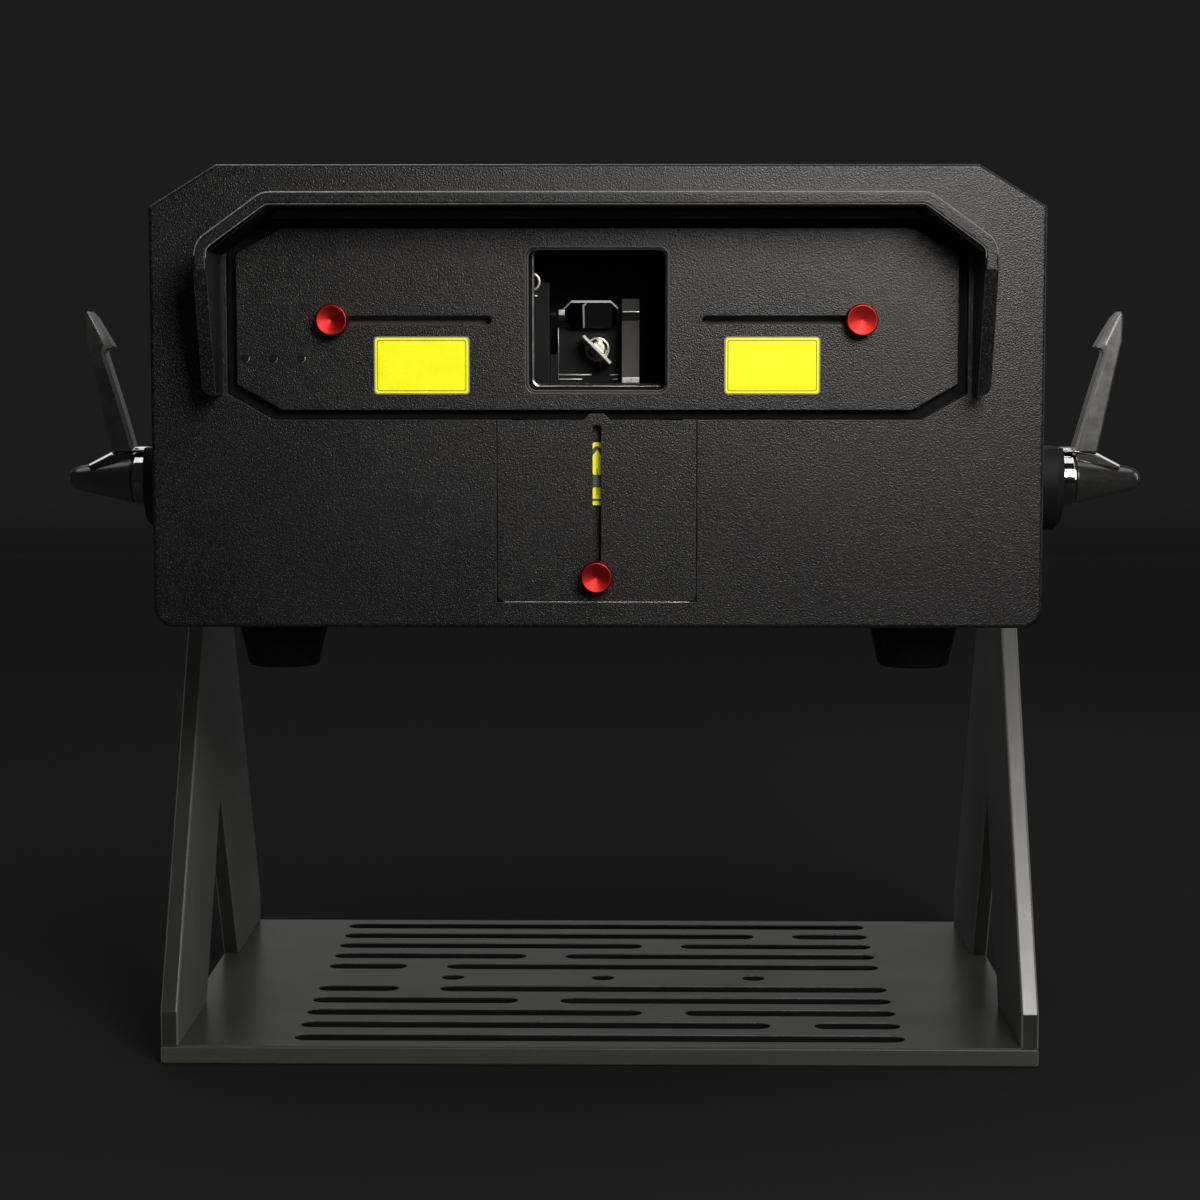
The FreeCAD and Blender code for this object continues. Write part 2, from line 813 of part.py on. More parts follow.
def lever_stud(label, side):
    """Chromed collar in one piece with the stud that reaches into the head."""
    shaft = "(%s - %s)" % (COLLAR_START, STUD_START)
    profile = [
        ("0", "0"), ("stud_diameter / 2", "0"), ("stud_diameter / 2", shaft),
        ("collar_radius - collar_chamfer", shaft), ("collar_radius", shaft + " + collar_chamfer"),
        ("collar_radius", shaft + " + collar_length - collar_chamfer"),
        ("collar_radius - collar_chamfer", shaft + " + collar_length"), ("0", shaft + " + collar_length"),
    ]
    spot = (("-" if side < 0 else "") + STUD_START, "0", PIVOT_Z)
    return node(turned(label, profile, spot, "-X" if side < 0 else "X"), label)


def lever_handle(label, side):
    """Bullet hub with the sloping lip and the upright arm that ends in a thumb hook."""
    axis = "-X" if side < 0 else "X"
    sign = "-" if side < 0 else ""
    hub = turned(label + "_hub", [
        ("0", "0"), ("hub_base_radius", "0"), ("hub_nose_radius", "hub_nose_start"), ("0", "hub_length"),
    ], (sign + HUB_START, "0", PIVOT_Z), axis, {2: ("x", "0", "left")})
    body = make_body(label + "_arm", (sign + HUB_START, "0", PIVOT_Z))
    sketch = add_sketch(body, label + "_arm_outline", "XZ_Plane", "-arm_breadth / 2")
    lip_in = "-(collar_length - face_gap)"
    root_in = "(arm_root_width / 2 - collar_length)"
    neck = "(%r * arm_height)" % ARM_NECK_SHARE
    tip = "arm_top_reach"
    points = [
        (lip_in, "collar_radius + face_gap"), ("0", "collar_radius + face_gap"),
        ("0", "hub_base_radius - lip_thickness"), ("lip_reach", "lip_fall - lip_thickness"),
        ("lip_reach", "lip_fall"),
        ("%s + arm_root_width" % root_in, "lip_rise - lip_thickness"),
        ("%s - arm_edge" % tip, neck), (tip, "arm_height - hook_drop + hook_depth"),
        (tip, "arm_height - arm_edge"), ("%s - arm_edge" % tip, "arm_height"),
        ("%s - arm_width / 2" % tip, "arm_height - hook_depth"),
        ("%s - arm_width - hook_depth" % tip, "arm_height - hook_drop"),
        ("%s - arm_width" % tip, "arm_height - hook_drop - hook_depth"), (root_in, "lip_rise"),
        (lip_in, "lip_rise"),
    ]
    mirrored = [("-(%s)" % x, z) for x, z in points] if side < 0 else points
    outline(sketch, mirrored)
    solid = pad(body, sketch, "arm_breadth")
    half = number("arm_breadth / 2")

    def is_arm_rim(edge):
        on_face = on_level(edge, "y", half) or on_level(edge, "y", -half)
        return on_face and edge.CenterOfMass.z > number("lip_rise")

    round_edges(body, solid, is_arm_rim, "arm_edge", "Chamfer")
    return node(fuse(label, [hub, body]), label)


# Front of the head

def front_bezel():
    body = make_body("front_bezel", ("0", BEZEL_BACK, PIVOT_Z))
    sketch = add_sketch(body, "bezel_outline", "XZ_Plane")
    half = "bezel_width / 2"
    low = "-bezel_drop"
    corner = "bezel_corner_radius"
    points = [
        ("-(%s - %s)" % (half, corner), low), ("%s - %s" % (half, corner), low),
        (half, "%s + %s" % (low, corner)), (half, "bezel_rise - bezel_chamfer_height"),
        ("%s - bezel_chamfer_width" % half, "bezel_rise"),
        ("-(%s - bezel_chamfer_width)" % half, "bezel_rise"),
        ("-" + half, "bezel_rise - bezel_chamfer_height"), ("-" + half, "%s + %s" % (low, corner)),
    ]
    outline(sketch, points, {1: ("x", "%s - %s" % (half, corner), "left"),
                             7: ("x", "-(%s - %s)" % (half, corner), "left")})
    solid = pad(body, sketch, "bezel_thickness")
    front = -number("bezel_thickness")
    round_edges(body, solid, lambda e: on_level(e, "y", front), "bezel_edge_radius")
    groove = add_sketch(body, "bezel_groove", "XZ_Plane", "bezel_thickness")
    octagon(groove, "(panel_width / 2 + groove_width)", "(panel_low - groove_width)",
            "(panel_low + panel_height + groove_width)", "panel_chamfer_width", "panel_chamfer_height")
    pocket(body, groove, "panel_thickness")
    recess = add_sketch(body, "bezel_cover_recess", "XZ_Plane", "bezel_thickness")
    rectangle(recess, "-(cover_width / 2 + cover_seam)", "(cover_width / 2 + cover_seam)",
              COVER_LOW + " - cover_seam", "panel_low")
    pocket(body, recess, "cover_thickness")
    window = add_sketch(body, "bezel_window", "XZ_Plane", "bezel_thickness")
    octagon(window, "(panel_width / 2 - panel_ledge)", "(panel_low + panel_ledge)",
            "(panel_low + panel_height - panel_ledge)", "panel_chamfer_width", "panel_chamfer_height")
    pocket(body, window, "bezel_thickness + overrun")
    channel = add_sketch(body, "bezel_channel", "XZ_Plane", "bezel_thickness")
    rectangle(channel, "-channel_width / 2", "channel_width / 2", COVER_LOW + " + channel_ledge",
              "aperture_middle")
    pocket(body, channel, "bezel_thickness + overrun")
    return node(body, "front_bezel")


def aperture_panel():
    body = make_body("aperture_panel", ("0", PANEL_BACK, PIVOT_Z))
    sketch = add_sketch(body, "panel_outline", "XZ_Plane")
    octagon(sketch, "(panel_width / 2)", "panel_low", PANEL_TOP, "panel_chamfer_width",
            "panel_chamfer_height")
    pad(body, sketch, "panel_thickness")
    cuts = add_sketch(body, "panel_cuts", "XZ_Plane", "panel_thickness")
    rounded_rectangle(cuts, "(-aperture_width / 2)", "(aperture_width / 2)",
                      "(aperture_middle - aperture_height / 2)",
                      "(aperture_middle + aperture_height / 2)", "aperture_radius")
    radius = "(shutter_stud_diameter / 2 + shutter_slot_clearance)"
    slot(cuts, "-shutter_rest", "(shutter_travel - shutter_rest)", "aperture_middle", radius)
    slot(cuts, "(shutter_rest - shutter_travel)", "shutter_rest", "aperture_middle", radius)
    for spot in led_places():
        circle(cuts, spot, "led_diameter / 2")
    pocket(body, cuts, "panel_thickness + overrun")
    return node(body, "aperture_panel")


def led_places():
    return [("-led_offset + %d * led_pitch" % i, "led_height") for i in (-1, 0, 1)]


def shutter_cover():
    body = make_body("shutter_cover", ("0", "(cover_thickness - bezel_front)", PIVOT_Z))
    sketch = add_sketch(body, "cover_outline", "XZ_Plane")
    half = "(cover_width / 2)"
    tab = "(cover_tab_width / 2)"
    slope = "(cover_tab_width / 2 - cover_tab_height)"
    points = [
        ("-(%s - cover_radius)" % half, COVER_LOW), ("%s - cover_radius" % half, COVER_LOW),
        (half, COVER_LOW + " + cover_radius"), (half, COVER_TOP), (tab, COVER_TOP),
        (slope, COVER_TOP + " + cover_tab_height"), ("-" + slope, COVER_TOP + " + cover_tab_height"),
        ("-" + tab, COVER_TOP), ("-" + half, COVER_TOP), ("-" + half, COVER_LOW + " + cover_radius"),
    ]
    outline(sketch, points, {1: ("x", "%s - cover_radius" % half, "left"),
                             9: ("x", "-(%s - cover_radius)" % half, "left")})
    pad(body, sketch, "cover_thickness")
    cuts = add_sketch(body, "cover_slot", "XZ_Plane", "cover_thickness")
    upright_slot(cuts, "0", "-lower_rest_drop", "(lower_travel - lower_rest_drop)",
                 "(shutter_stud_diameter / 2 + shutter_slot_clearance)")
    pocket(body, cuts, "cover_thickness + overrun")
    return node(body, "shutter_cover")


def visor_hood():
    """Visor that stands out over the panel and tapers down both sides."""
    body = make_body("visor_hood", ("0", "-bezel_front", PIVOT_Z))
    sketch = add_sketch(body, "hood_outline", "XZ_Plane")
    wide = "(hood_width / 2)"
    flat = "(hood_top_width / 2)"
    turn = "(hood_rise - hood_corner_drop)"
    slope = "sqrt(hood_corner_run ^ 2 + hood_corner_drop ^ 2)"
    inner = "(hood_width / 2 - hood_wall)"
    inner_top = "(hood_rise - hood_wall)"
    inner_flat = "(%s - hood_wall * (%s - hood_corner_run) / hood_corner_drop)" % (flat, slope)
    inner_turn = "(%s - hood_wall * (%s - hood_corner_drop) / hood_corner_run)" % (turn, slope)
    points = [
        (wide, "hood_low"), (wide, turn), (flat, "hood_rise"), ("-" + flat, "hood_rise"),
        ("-" + wide, turn),
        ("-" + wide, "hood_low"), ("-" + inner, "hood_low"), ("-" + inner, inner_turn),
        ("-" + inner_flat, inner_top),
        (inner_flat, inner_top), (inner, inner_turn), (inner, "hood_low"),
    ]
    outline(sketch, points)
    solid = pad(body, sketch, "hood_reach")
    near = number("hood_edge_radius")

    def at_corner(edge, across, height):
        spot = edge.CenterOfMass
        return abs(spot.z - number(height)) < near and abs(abs(spot.x) - number(across)) < near

    def is_outer_corner(edge):
        return along(edge, "y") and (at_corner(edge, flat, "hood_rise") or at_corner(edge, wide, turn))

    def is_inner_corner(edge):
        return along(edge, "y") and (at_corner(edge, inner_flat, inner_top)
                                     or at_corner(edge, inner, inner_turn))

    def is_end_corner(edge):
        return along(edge, "y") and at_corner(edge, wide, "hood_low")

    solid = round_edges(body, solid, is_outer_corner, "hood_corner_radius")
    solid = round_edges(body, solid, is_inner_corner, "hood_inner_radius")
    round_edges(body, solid, is_end_corner, "hood_end_radius")
    taper = add_sketch(body, "hood_taper", "YZ_Plane", "-(hood_width / 2 + overrun)")
    taper_top = "(%s - hood_corner_radius)" % turn
    outline(taper,
            [("-hood_end_reach", "hood_low - overrun"), ("-hood_end_reach", "hood_low"),
             ("-hood_reach", taper_top), ("-(hood_reach + overrun)", taper_top),
             ("-(hood_reach + overrun)", "hood_low - overrun")])
    solid = pocket(body, taper, "hood_width + 2 * overrun", reverse=True)
    front = -number("hood_reach")
    round_edges(body, solid, lambda e: on_level(e, "y", front), "hood_edge_radius")
    return node(body, "visor_hood")


def label_plates():
    plates = []
    for across in ("-label_offset", "label_offset"):
        name = "label_plate_%d" % len(plates)
        body = make_body(name, (across, "-bezel_front", PIVOT_Z + " + label_middle"))
        sketch = add_sketch(body, name + "_outline", "XZ_Plane")
        rounded_rectangle(sketch, "(-label_width / 2)", "(label_width / 2)", "(-label_height / 2)",
                          "(label_height / 2)", "label_radius")
        pad(body, sketch, "label_thickness")
        plates.append(body)
    return node(group("label_group", plates), "label_plates")


def indicator_leds():
    lights = []
    for i, (across, height) in enumerate(led_places()):
        lights.append(cylinder("led_%d" % i, (across, PANEL_BACK, PIVOT_Z + " + " + height),
                               "led_diameter / 2 - led_clearance", "panel_thickness - led_recess", "-Y"))
    return node(group("led_group", lights), "indicator_leds")


# Shutters and their knobs

def side_shutter(label, side, layer):
    """Sliding plate beside the aperture with the stud that its knob turns on."""
    front = "(%s + %s + %d * %s)" % (PANEL_BACK, SLIDE_GAP, layer, SHUTTER_STEP)
    inner = "(aperture_width / 2 + shutter_overlap)"
    length = "(shutter_rest + shutter_tail - %s)" % inner
    height = "(aperture_height + 2 * shutter_overlap)"
    left = "(-shutter_rest - shutter_tail)" if side < 0 else inner
    plate = box(label + "_plate", (left, front, PIVOT_Z + " + aperture_middle - %s / 2" % height),
                (length, "shutter_thickness", height))
    stud = cylinder(label + "_stud",
                    (("-" if side < 0 else "") + "shutter_rest", front + " + shutter_thickness / 2",
                     PIVOT_Z + " + aperture_middle"), "shutter_stud_diameter / 2",
                    "%s + shutter_thickness / 2 + %s + knob_bore_depth - overrun" % (front, KNOB_BACK),
                    "-Y")
    return node(fuse(label, [plate, stud]), label)


def lower_shutter():
    front = "(%s + %s)" % (PANEL_BACK, SLIDE_GAP)
    top = "(aperture_middle - aperture_height / 2 - lower_overlap)"
    low = "(-lower_rest_drop - lower_tail)"
    half = "(aperture_width / 2 + lower_overlap)"
    plate = box("lower_shutter_plate", ("-" + half, front, PIVOT_Z + " + " + low),
                ("2 * " + half, "shutter_thickness", "%s - %s" % (top, low)))
    stud = cylinder("lower_shutter_stud",
                    ("0", front + " + shutter_thickness / 2", PIVOT_Z + " - lower_rest_drop"),
                    "shutter_stud_diameter / 2",
                    "%s + shutter_thickness / 2 + %s + knob_bore_depth - overrun" % (front, KNOB_BACK),
                    "-Y")
    return node(fuse("lower_shutter", [plate, stud]), "lower_shutter")


def arrow_strip():
    front = "(%s + %s)" % (PANEL_BACK, SLIDE_GAP)
    strip = box("arrow_strip_box",
                ("-arrow_width / 2", front + " - arrow_thickness",
                 PIVOT_Z + " + lower_travel - lower_rest_drop - arrow_rise / 2 - arrow_length"),
                ("arrow_width", "arrow_thickness", "arrow_length"))
    return node(strip, "arrow_strip")


def shutter_knob(label, across, height):
    """Turned thumb knob with a blind bore for the stud."""
    bore = "(shutter_stud_diameter / 2 + running_clearance)"
    radius = "(knob_diameter / 2)"
    profile = [
        (bore, "0"), (radius + " - knob_edge", "0"), (radius, "knob_edge"),
        (radius, "knob_length - knob_edge"),
        (radius + " - knob_edge", "knob_length"), ("0", "knob_length"), ("0", "knob_bore_depth"),
        (bore, "knob_bore_depth"),
    ]
    return node(turned(label, profile, (across, "-" + KNOB_BACK, PIVOT_Z + " + " + height), "-Y"), label)


def shutter_guide():
    """Plate behind the bezel that keeps the shutters in their slides."""
    body = make_body("shutter_guide", ("0", GUIDE_BACK, PIVOT_Z))
    sketch = add_sketch(body, "guide_outline", "XZ_Plane")
    wide = "(panel_width / 2 + guide_margin)"
    narrow = "(channel_width / 2 + 2 * guide_margin)"
    top = PANEL_TOP
    low = "(%s + face_gap)" % FLOOR
    points = [
        ("-" + narrow, low), (narrow, low), (narrow, "panel_low"), (wide, "panel_low"), (wide, top),
        ("-" + wide, top),
        ("-" + wide, "panel_low"), ("-" + narrow, "panel_low"),
    ]
    outline(sketch, points)
    pad(body, sketch, "guide_thickness")
    window = add_sketch(body, "guide_window_cut", "XZ_Plane", "guide_thickness")
    rectangle(window, "-guide_window / 2", "guide_window / 2", "(aperture_middle - guide_window / 2)",
              "(aperture_middle + guide_window / 2)")
    pocket(body, window, "guide_thickness + overrun")
    return node(body, "shutter_guide")


def aperture_glass():
    glass = box("aperture_glass_box",
                ("-glass_size / 2", GUIDE_BACK, PIVOT_Z + " + aperture_middle - glass_size / 2"),
                ("glass_size", "glass_thickness", "glass_size"))
    return node(glass, "aperture_glass")


# Housing of the head

def side_panel(label, side):
    """Side wall with vent slots and the boss that the lever's stud runs in."""
    inward = side > 0
    body = make_body(label, (("-" if side < 0 else "") + "(housing_width / 2)", "0", PIVOT_Z))
    sketch = add_sketch(body, label + "_outline", "YZ_Plane")
    rectangle(sketch, BEZEL_BACK, HOUSING_REAR, HOUSING_LOW, SHOULDER)
    pad(body, sketch, "side_thickness", reverse=inward)
    boss = add_sketch(body, label + "_boss", "YZ_Plane")
    circle(boss, ("0", "0"), "boss_radius")
    pad(body, boss, "side_thickness + boss_length", reverse=inward)
    bore = add_sketch(body, label + "_bore", "YZ_Plane")
    circle(bore, ("0", "0"), STUD_BORE)
    pocket(body, bore, "side_thickness + stud_engagement + running_clearance", reverse=not inward)
    vents = add_sketch(body, label + "_vents", "YZ_Plane")
    for i in range(VENT_COUNT):
        upright_slot(vents, "(vent_start + %d * vent_pitch)" % i, "(vent_middle - vent_length / 2)",
                     "(vent_middle + vent_length / 2)", "(vent_width / 2)")
    pocket(body, vents, "side_thickness + overrun", reverse=not inward)
    taps = add_sketch(body, label + "_taps", "XZ_Plane", "-" + HOUSING_REAR)
    middle = "(side_thickness / 2)" if side < 0 else "(-side_thickness / 2)"
    for height in rear_screw_heights():
        circle(taps, (middle, height), "rear_screw_diameter / 2 + screw_clearance")
    pocket(body, taps, "rear_screw_grip + overrun", reverse=True)
    return node(body, label)


VENT_COUNT = 8
REAR_SCREW_SHARES = (0.1, 0.5, 0.9)


def rear_screw_heights():
    return ["(%s + %r * (%s - %s))" % (HOUSING_LOW, share, SHOULDER,
                                       HOUSING_LOW) for share in REAR_SCREW_SHARES]


def bottom_plate():
    plate = box("bottom_plate_box", ("-" + INNER_HALF, BEZEL_BACK, PIVOT_Z + " + " + HOUSING_LOW),
                ("2 * " + INNER_HALF, "housing_length", "bottom_thickness"))
    holes = []
    for i, (across, depth) in enumerate(foot_places()):
        holes.append(cylinder("foot_hole_%d" % i,
                              (across, depth, PIVOT_Z + " + " + HOUSING_LOW + " - overrun"),
                              "foot_screw_shank + screw_clearance", "foot_screw_grip + 2 * overrun"))
    return node(cut("bottom_plate", plate, holes), "bottom_plate")


def housing_outline(sketch):
    half = "(housing_width / 2)"
    flat = "(housing_width / 2 - bezel_chamfer_width)"
    outline(sketch, [
        ("-" + half, HOUSING_LOW), (half, HOUSING_LOW), (half, SHOULDER), (flat, HOUSING_TOP),
        ("-" + flat, HOUSING_TOP),
        ("-" + half, SHOULDER),
    ])


def top_cover():
    """Folded sheet with sloping shoulders that sits on both side panels."""
    body = make_body("top_cover", ("0", BEZEL_BACK, PIVOT_Z))
    sketch = add_sketch(body, "top_cover_outline", "XZ_Plane")
    half = "(housing_width / 2)"
    flat = "(housing_width / 2 - bezel_chamfer_width)"
    slope = "sqrt(bezel_chamfer_width ^ 2 + bezel_chamfer_height ^ 2)"
    shift = "(top_thickness * %s / bezel_chamfer_height)" % slope
    foot = "(housing_width / 2 - %s)" % shift
    under = "(%s - top_thickness)" % HOUSING_TOP
    drop = "(bezel_chamfer_height - top_thickness)"
    crease = "(%s - %s * bezel_chamfer_width / bezel_chamfer_height)" % (foot, drop)
    outline(sketch, [
        (foot, SHOULDER), (half, SHOULDER), (flat, HOUSING_TOP), ("-" + flat, HOUSING_TOP),
        ("-" + half, SHOULDER),
        ("-" + foot, SHOULDER), ("-" + crease, under), (crease, under),
    ])
    pad(body, sketch, "housing_length", reverse=True)
    return node(body, "top_cover")


def rear_panel():
    """Rear wall with cut-outs for the fans and every fitting."""
    body = make_body("rear_panel", ("0", REAR_FACE, PIVOT_Z))
    sketch = add_sketch(body, "rear_outline", "XZ_Plane")
    housing_outline(sketch)
    pad(body, sketch, "rear_thickness")
    cuts = add_sketch(body, "rear_cuts", "XZ_Plane", "rear_thickness")
    for side in ("-", ""):
        circle(cuts, (side + "fan_offset", "fan_rise"), "fan_bore_radius")
        for height in rear_screw_heights():
            circle(cuts, (side + "(housing_width / 2 - side_thickness / 2)", height),
                   "rear_screw_diameter / 2 + screw_clearance")
    fitting_cut(cuts, "inlet_offset", "inlet_body_width", "inlet_body_height")
    fitting_cut(cuts, "rocker_offset", ROCKER_WIDE, ROCKER_TALL)
    fitting_cut(cuts, "ilda_offset", "ilda_shell_width", "ilda_shell_height")
    for across in data_places():
        circle(cuts, (across, "fitting_height"), "data_radius + fitting_clearance")
    circle(cuts, ("key_offset", "key_height"), "key_barrel_radius + fitting_clearance")
    circle(cuts, ("0", "eyelet_height"), "eyelet_shank_radius + fitting_clearance")
    pocket(body, cuts, "rear_thickness + overrun")
    return node(body, "rear_panel")


def fitting_cut(sketch, across, width, height):
    """Rectangular hole for a rear fitting's body."""
    rectangle(sketch, "(%s - %s / 2 - fitting_clearance)" % (across, width),
              "(%s + %s / 2 + fitting_clearance)" % (across, width),
              "(fitting_height - %s / 2 - fitting_clearance)" % height,
              "(fitting_height + %s / 2 + fitting_clearance)" % height)


def rear_screws():
    screws = []
    for side in ("-", ""):
        for height in rear_screw_heights():
            i = len(screws)
            spot = side + "(housing_width / 2 - side_thickness / 2)"
            head = cylinder("rear_screw_head_%d" % i, (spot, REAR_FACE, PIVOT_Z + " + " + height),
                            "rear_screw_head_radius", "rear_screw_head_height", "Y")
            shank = cylinder("rear_screw_shank_%d" % i,
                             (spot, REAR_FACE + " - rear_thickness - rear_screw_grip",
                                                         PIVOT_Z + " + " + height),
                             "rear_screw_diameter / 2",
                             "rear_thickness + rear_screw_grip", "Y")
            screws.append(fuse("rear_screw_%d" % i, [head, shank]))
    return node(group("rear_screw_group", screws), "rear_screws")


def friction_washers():
    """Rings on the head's sides that rub on the legs."""
    thickness = "washer_thickness"
    profile = [(STUD_BORE, "0"), ("washer_radius", "0"), ("washer_radius", thickness),
               (STUD_BORE, thickness)]
    left = turned("left_washer", profile, ("-(housing_width / 2)", "0", PIVOT_Z), "-X")
    right = turned("right_washer", profile, ("(housing_width / 2)", "0", PIVOT_Z), "X")
    return node(group("washer_group", [left, right]), "friction_washers")


def foot_places():
    return [(side + "foot_offset", depth) for side in ("-", "") for depth in ("-foot_front", "foot_rear")]


def feet():
    """Truncated cones under the head, hollowed for their screws."""
    base = PIVOT_Z + " + " + HOUSING_LOW + " - foot_height"
    hole = "(foot_screw_shank + screw_clearance)"
    profile = [
        ("foot_recess_radius", "0"), ("foot_base_radius - foot_edge", "0"),
        ("foot_base_radius", "foot_edge"),
        ("foot_top_radius", "foot_height"), (hole, "foot_height"), (hole, "foot_recess_depth"),
        ("foot_recess_radius", "foot_recess_depth"),
    ]
    made = [turned("foot_%d" % i, profile, (across, depth, base), "Z") for i,
            (across, depth) in enumerate(foot_places())]
    return node(group("foot_group", made), "feet")


def foot_screws():
    base = PIVOT_Z + " + " + HOUSING_LOW + " - foot_height + foot_recess_depth"
    screws = []
    for i, (across, depth) in enumerate(foot_places()):
        head = cylinder("foot_screw_head_%d" % i, (across, depth, base + " - foot_screw_head"),
                        "foot_screw_radius",
                        "foot_screw_head")
        shank = cylinder("foot_screw_shank_%d" % i, (across, depth, base), "foot_screw_shank",
                         "foot_height - foot_recess_depth + foot_screw_grip")
        screws.append(fuse("foot_screw_%d" % i, [head, shank]))
    return node(group("foot_screw_group", screws), "foot_screws")


# Optics

def optical_bench():
    """Thick plate with a raised pad under every combining mirror."""
    plate = box("bench_plate",
                ("-bench_width / 2", "-bench_front", PIVOT_Z + " + bench_top - bench_thickness"),
                ("bench_width", "bench_front + bench_rear", "bench_thickness"))
    pads = []
    for i, middle in enumerate(optic_places()):
        pads.append(diagonal_box("optic_pad_%d" % i, middle,
                                 PIVOT_Z + " + bench_top - bench_thickness / 2",
                                 "optic_base", "optic_base / 2",
                                 "optic_base_height + bench_thickness / 2"))
    return node(fuse("optical_bench", [plate] + pads), "optical_bench")


def bench_posts():
    posts = []
    for across in ("-(bench_width / 2 - bench_post_inset)", "(bench_width / 2 - bench_post_inset)"):
        for depth in ("-(bench_front - bench_post_inset)", "(bench_rear - bench_post_inset)"):
            posts.append(cylinder("bench_post_%d" % len(posts), (across, depth, PIVOT_Z + " + " + FLOOR),
                                  "bench_post_radius", "bench_top - bench_thickness - " + FLOOR))
    return node(group("bench_post_group", posts), "bench_posts")


def scanner_block():
    """Block that holds both scanner motors at right angles."""
    left = "(scan_x - block_width / 2 - mirror_thickness * 2)"
    main = box("scanner_main", (left, "-block_front", PIVOT_Z + " + bench_top"),
               ("block_width", "block_length", "block_height"))
    wing_left = "(%s - wing_gap - wing_width)" % left
    wing_front = "(-scan_y - wing_depth / 2)"
    wing_height = "(%s - bench_top + galvo_radius * 2)" % LARGE_AXIS
    wing = box("scanner_wing", (wing_left, wing_front, PIVOT_Z + " + bench_top"),
               ("wing_width", "wing_depth", wing_height))
    web = box("scanner_web", (wing_left, "-block_front", PIVOT_Z + " + bench_top"),
              ("wing_width + wing_gap + block_width / 2", "block_length", "block_height / 2"))
    small = cylinder("small_bore", ("scan_x", "-block_front - overrun", PIVOT_Z + " + " + BEAM),
                     "galvo_radius + running_clearance", "block_length + 2 * overrun", "Y")
    large = cylinder("large_bore", (wing_left + " - overrun", "-scan_y", PIVOT_Z + " + " + LARGE_AXIS),
                     "galvo_radius + running_clearance", "wing_width + 2 * overrun", "X")
    return node(cut("scanner_block", fuse("scanner_solid", [main, wing, web]), [small, large]),
                "scanner_block")


def small_galvo():
    motor = cylinder("small_galvo_case", ("scan_x", "-block_front", PIVOT_Z + " + " + BEAM),
                     "galvo_radius", "galvo_length", "Y")
    shaft = cylinder("small_galvo_hole", ("scan_x", "-block_front - overrun", PIVOT_Z + " + " + BEAM),
                     "galvo_shaft_radius + running_clearance", "galvo_length / 2 + overrun", "Y")
    return cut("small_galvo", motor, [shaft])


def small_mirror():
    """Mirror edge-on to the viewer, with its round holder and shaft."""
    stand = "(holder_length + face_gap)"
    back = "(-block_front - face_gap)"
    shaft = cylinder("small_shaft", ("scan_x", back, PIVOT_Z + " + " + BEAM), "galvo_shaft_radius",
                     "galvo_length / 3", "Y")
    holder = cylinder("small_holder", ("scan_x", back + " - holder_length", PIVOT_Z + " + " + BEAM),
                      "holder_radius",
                      "holder_length", "Y")
    glass = doc.addObject("Part::Box", "small_glass")
    bind(glass, "Length", "small_mirror_length")
    bind(glass, "Width", "small_mirror_depth + holder_length / 2")
    bind(glass, "Height", "mirror_thickness")
    tilt = FreeCAD.Rotation(FreeCAD.Vector(0, 1, 0), SMALL_MIRROR_ANGLE)
    sine = "sin(%r deg)" % SMALL_MIRROR_ANGLE
    cosine = "cos(%r deg)" % SMALL_MIRROR_ANGLE
    across = "(small_mirror_length / 2)"
    deep = "(mirror_thickness / 2)"
    place(glass, ("scan_x - %s * %s - %s * %s" % (across, cosine, deep, sine),
                  back + " - holder_length - small_mirror_depth",
                  PIVOT_Z + " + " + BEAM + " + %s * %s - %s * %s" % (across, sine, deep, cosine)), tilt)
    return node(fuse("x_mirror", [shaft, holder, glass]), "x_mirror")


SMALL_MIRROR_ANGLE = 45.0
LARGE_MIRROR_ANGLE = 45.0


def large_left():
    return "(scan_x - block_width / 2 - mirror_thickness * 2 - wing_gap)"


def large_galvo():
    left = large_left()
    motor = cylinder("large_galvo_case",
                     (left + " - galvo_length", "-scan_y", PIVOT_Z + " + " + LARGE_AXIS), "galvo_radius",
                     "galvo_length", "X")
    hole = cylinder("large_galvo_hole",
                    (left + " - galvo_length / 2", "-scan_y", PIVOT_Z + " + " + LARGE_AXIS),
                    "galvo_shaft_radius + running_clearance", "galvo_length / 2 + overrun", "X")
    return cut("large_galvo", motor, [hole])


def galvo_motors():
    return node(group("galvo_group", [small_galvo(), large_galvo()]), "galvo_motors")


def large_mirror():
    """Long eight-sided mirror that leans over the small one."""
    left = large_left()
    lean = FreeCAD.Rotation(FreeCAD.Vector(1, 0, 0), LARGE_MIRROR_ANGLE)
    body = make_body("large_glass",
                     (left + " + face_gap + holder_length", "-scan_y", PIVOT_Z + " + " + LARGE_AXIS),
                     lean)
    sketch = add_sketch(body, "large_glass_outline", "XZ_Plane", "-mirror_thickness / 2")
    half = "(large_mirror_width / 2)"
    corner = "large_mirror_corner"
    far = "large_mirror_length"
    outline(sketch, [
        ("0", "-%s + %s" % (half, corner)), (corner, "-" + half), ("%s - %s" % (far, corner), "-" + half),
        (far, "-%s + %s" % (half, corner)), (far, "%s - %s" % (half, corner)),
        ("%s - %s" % (far, corner), half),
        (corner, half), ("0", "%s - %s" % (half, corner)),
    ])
    pad(body, sketch, "mirror_thickness")
    holder = cylinder("large_holder", (left + " + face_gap", "-scan_y", PIVOT_Z + " + " + LARGE_AXIS),
                      "holder_radius / 2",
                      "holder_length * 2", "X")
    shaft = cylinder("large_shaft",
                     (left + " + face_gap - galvo_length / 3", "-scan_y", PIVOT_Z + " + " + LARGE_AXIS),
                     "galvo_shaft_radius", "galvo_length / 3 + face_gap", "X")
    return node(fuse("y_mirror", [body, holder, shaft]), "y_mirror")


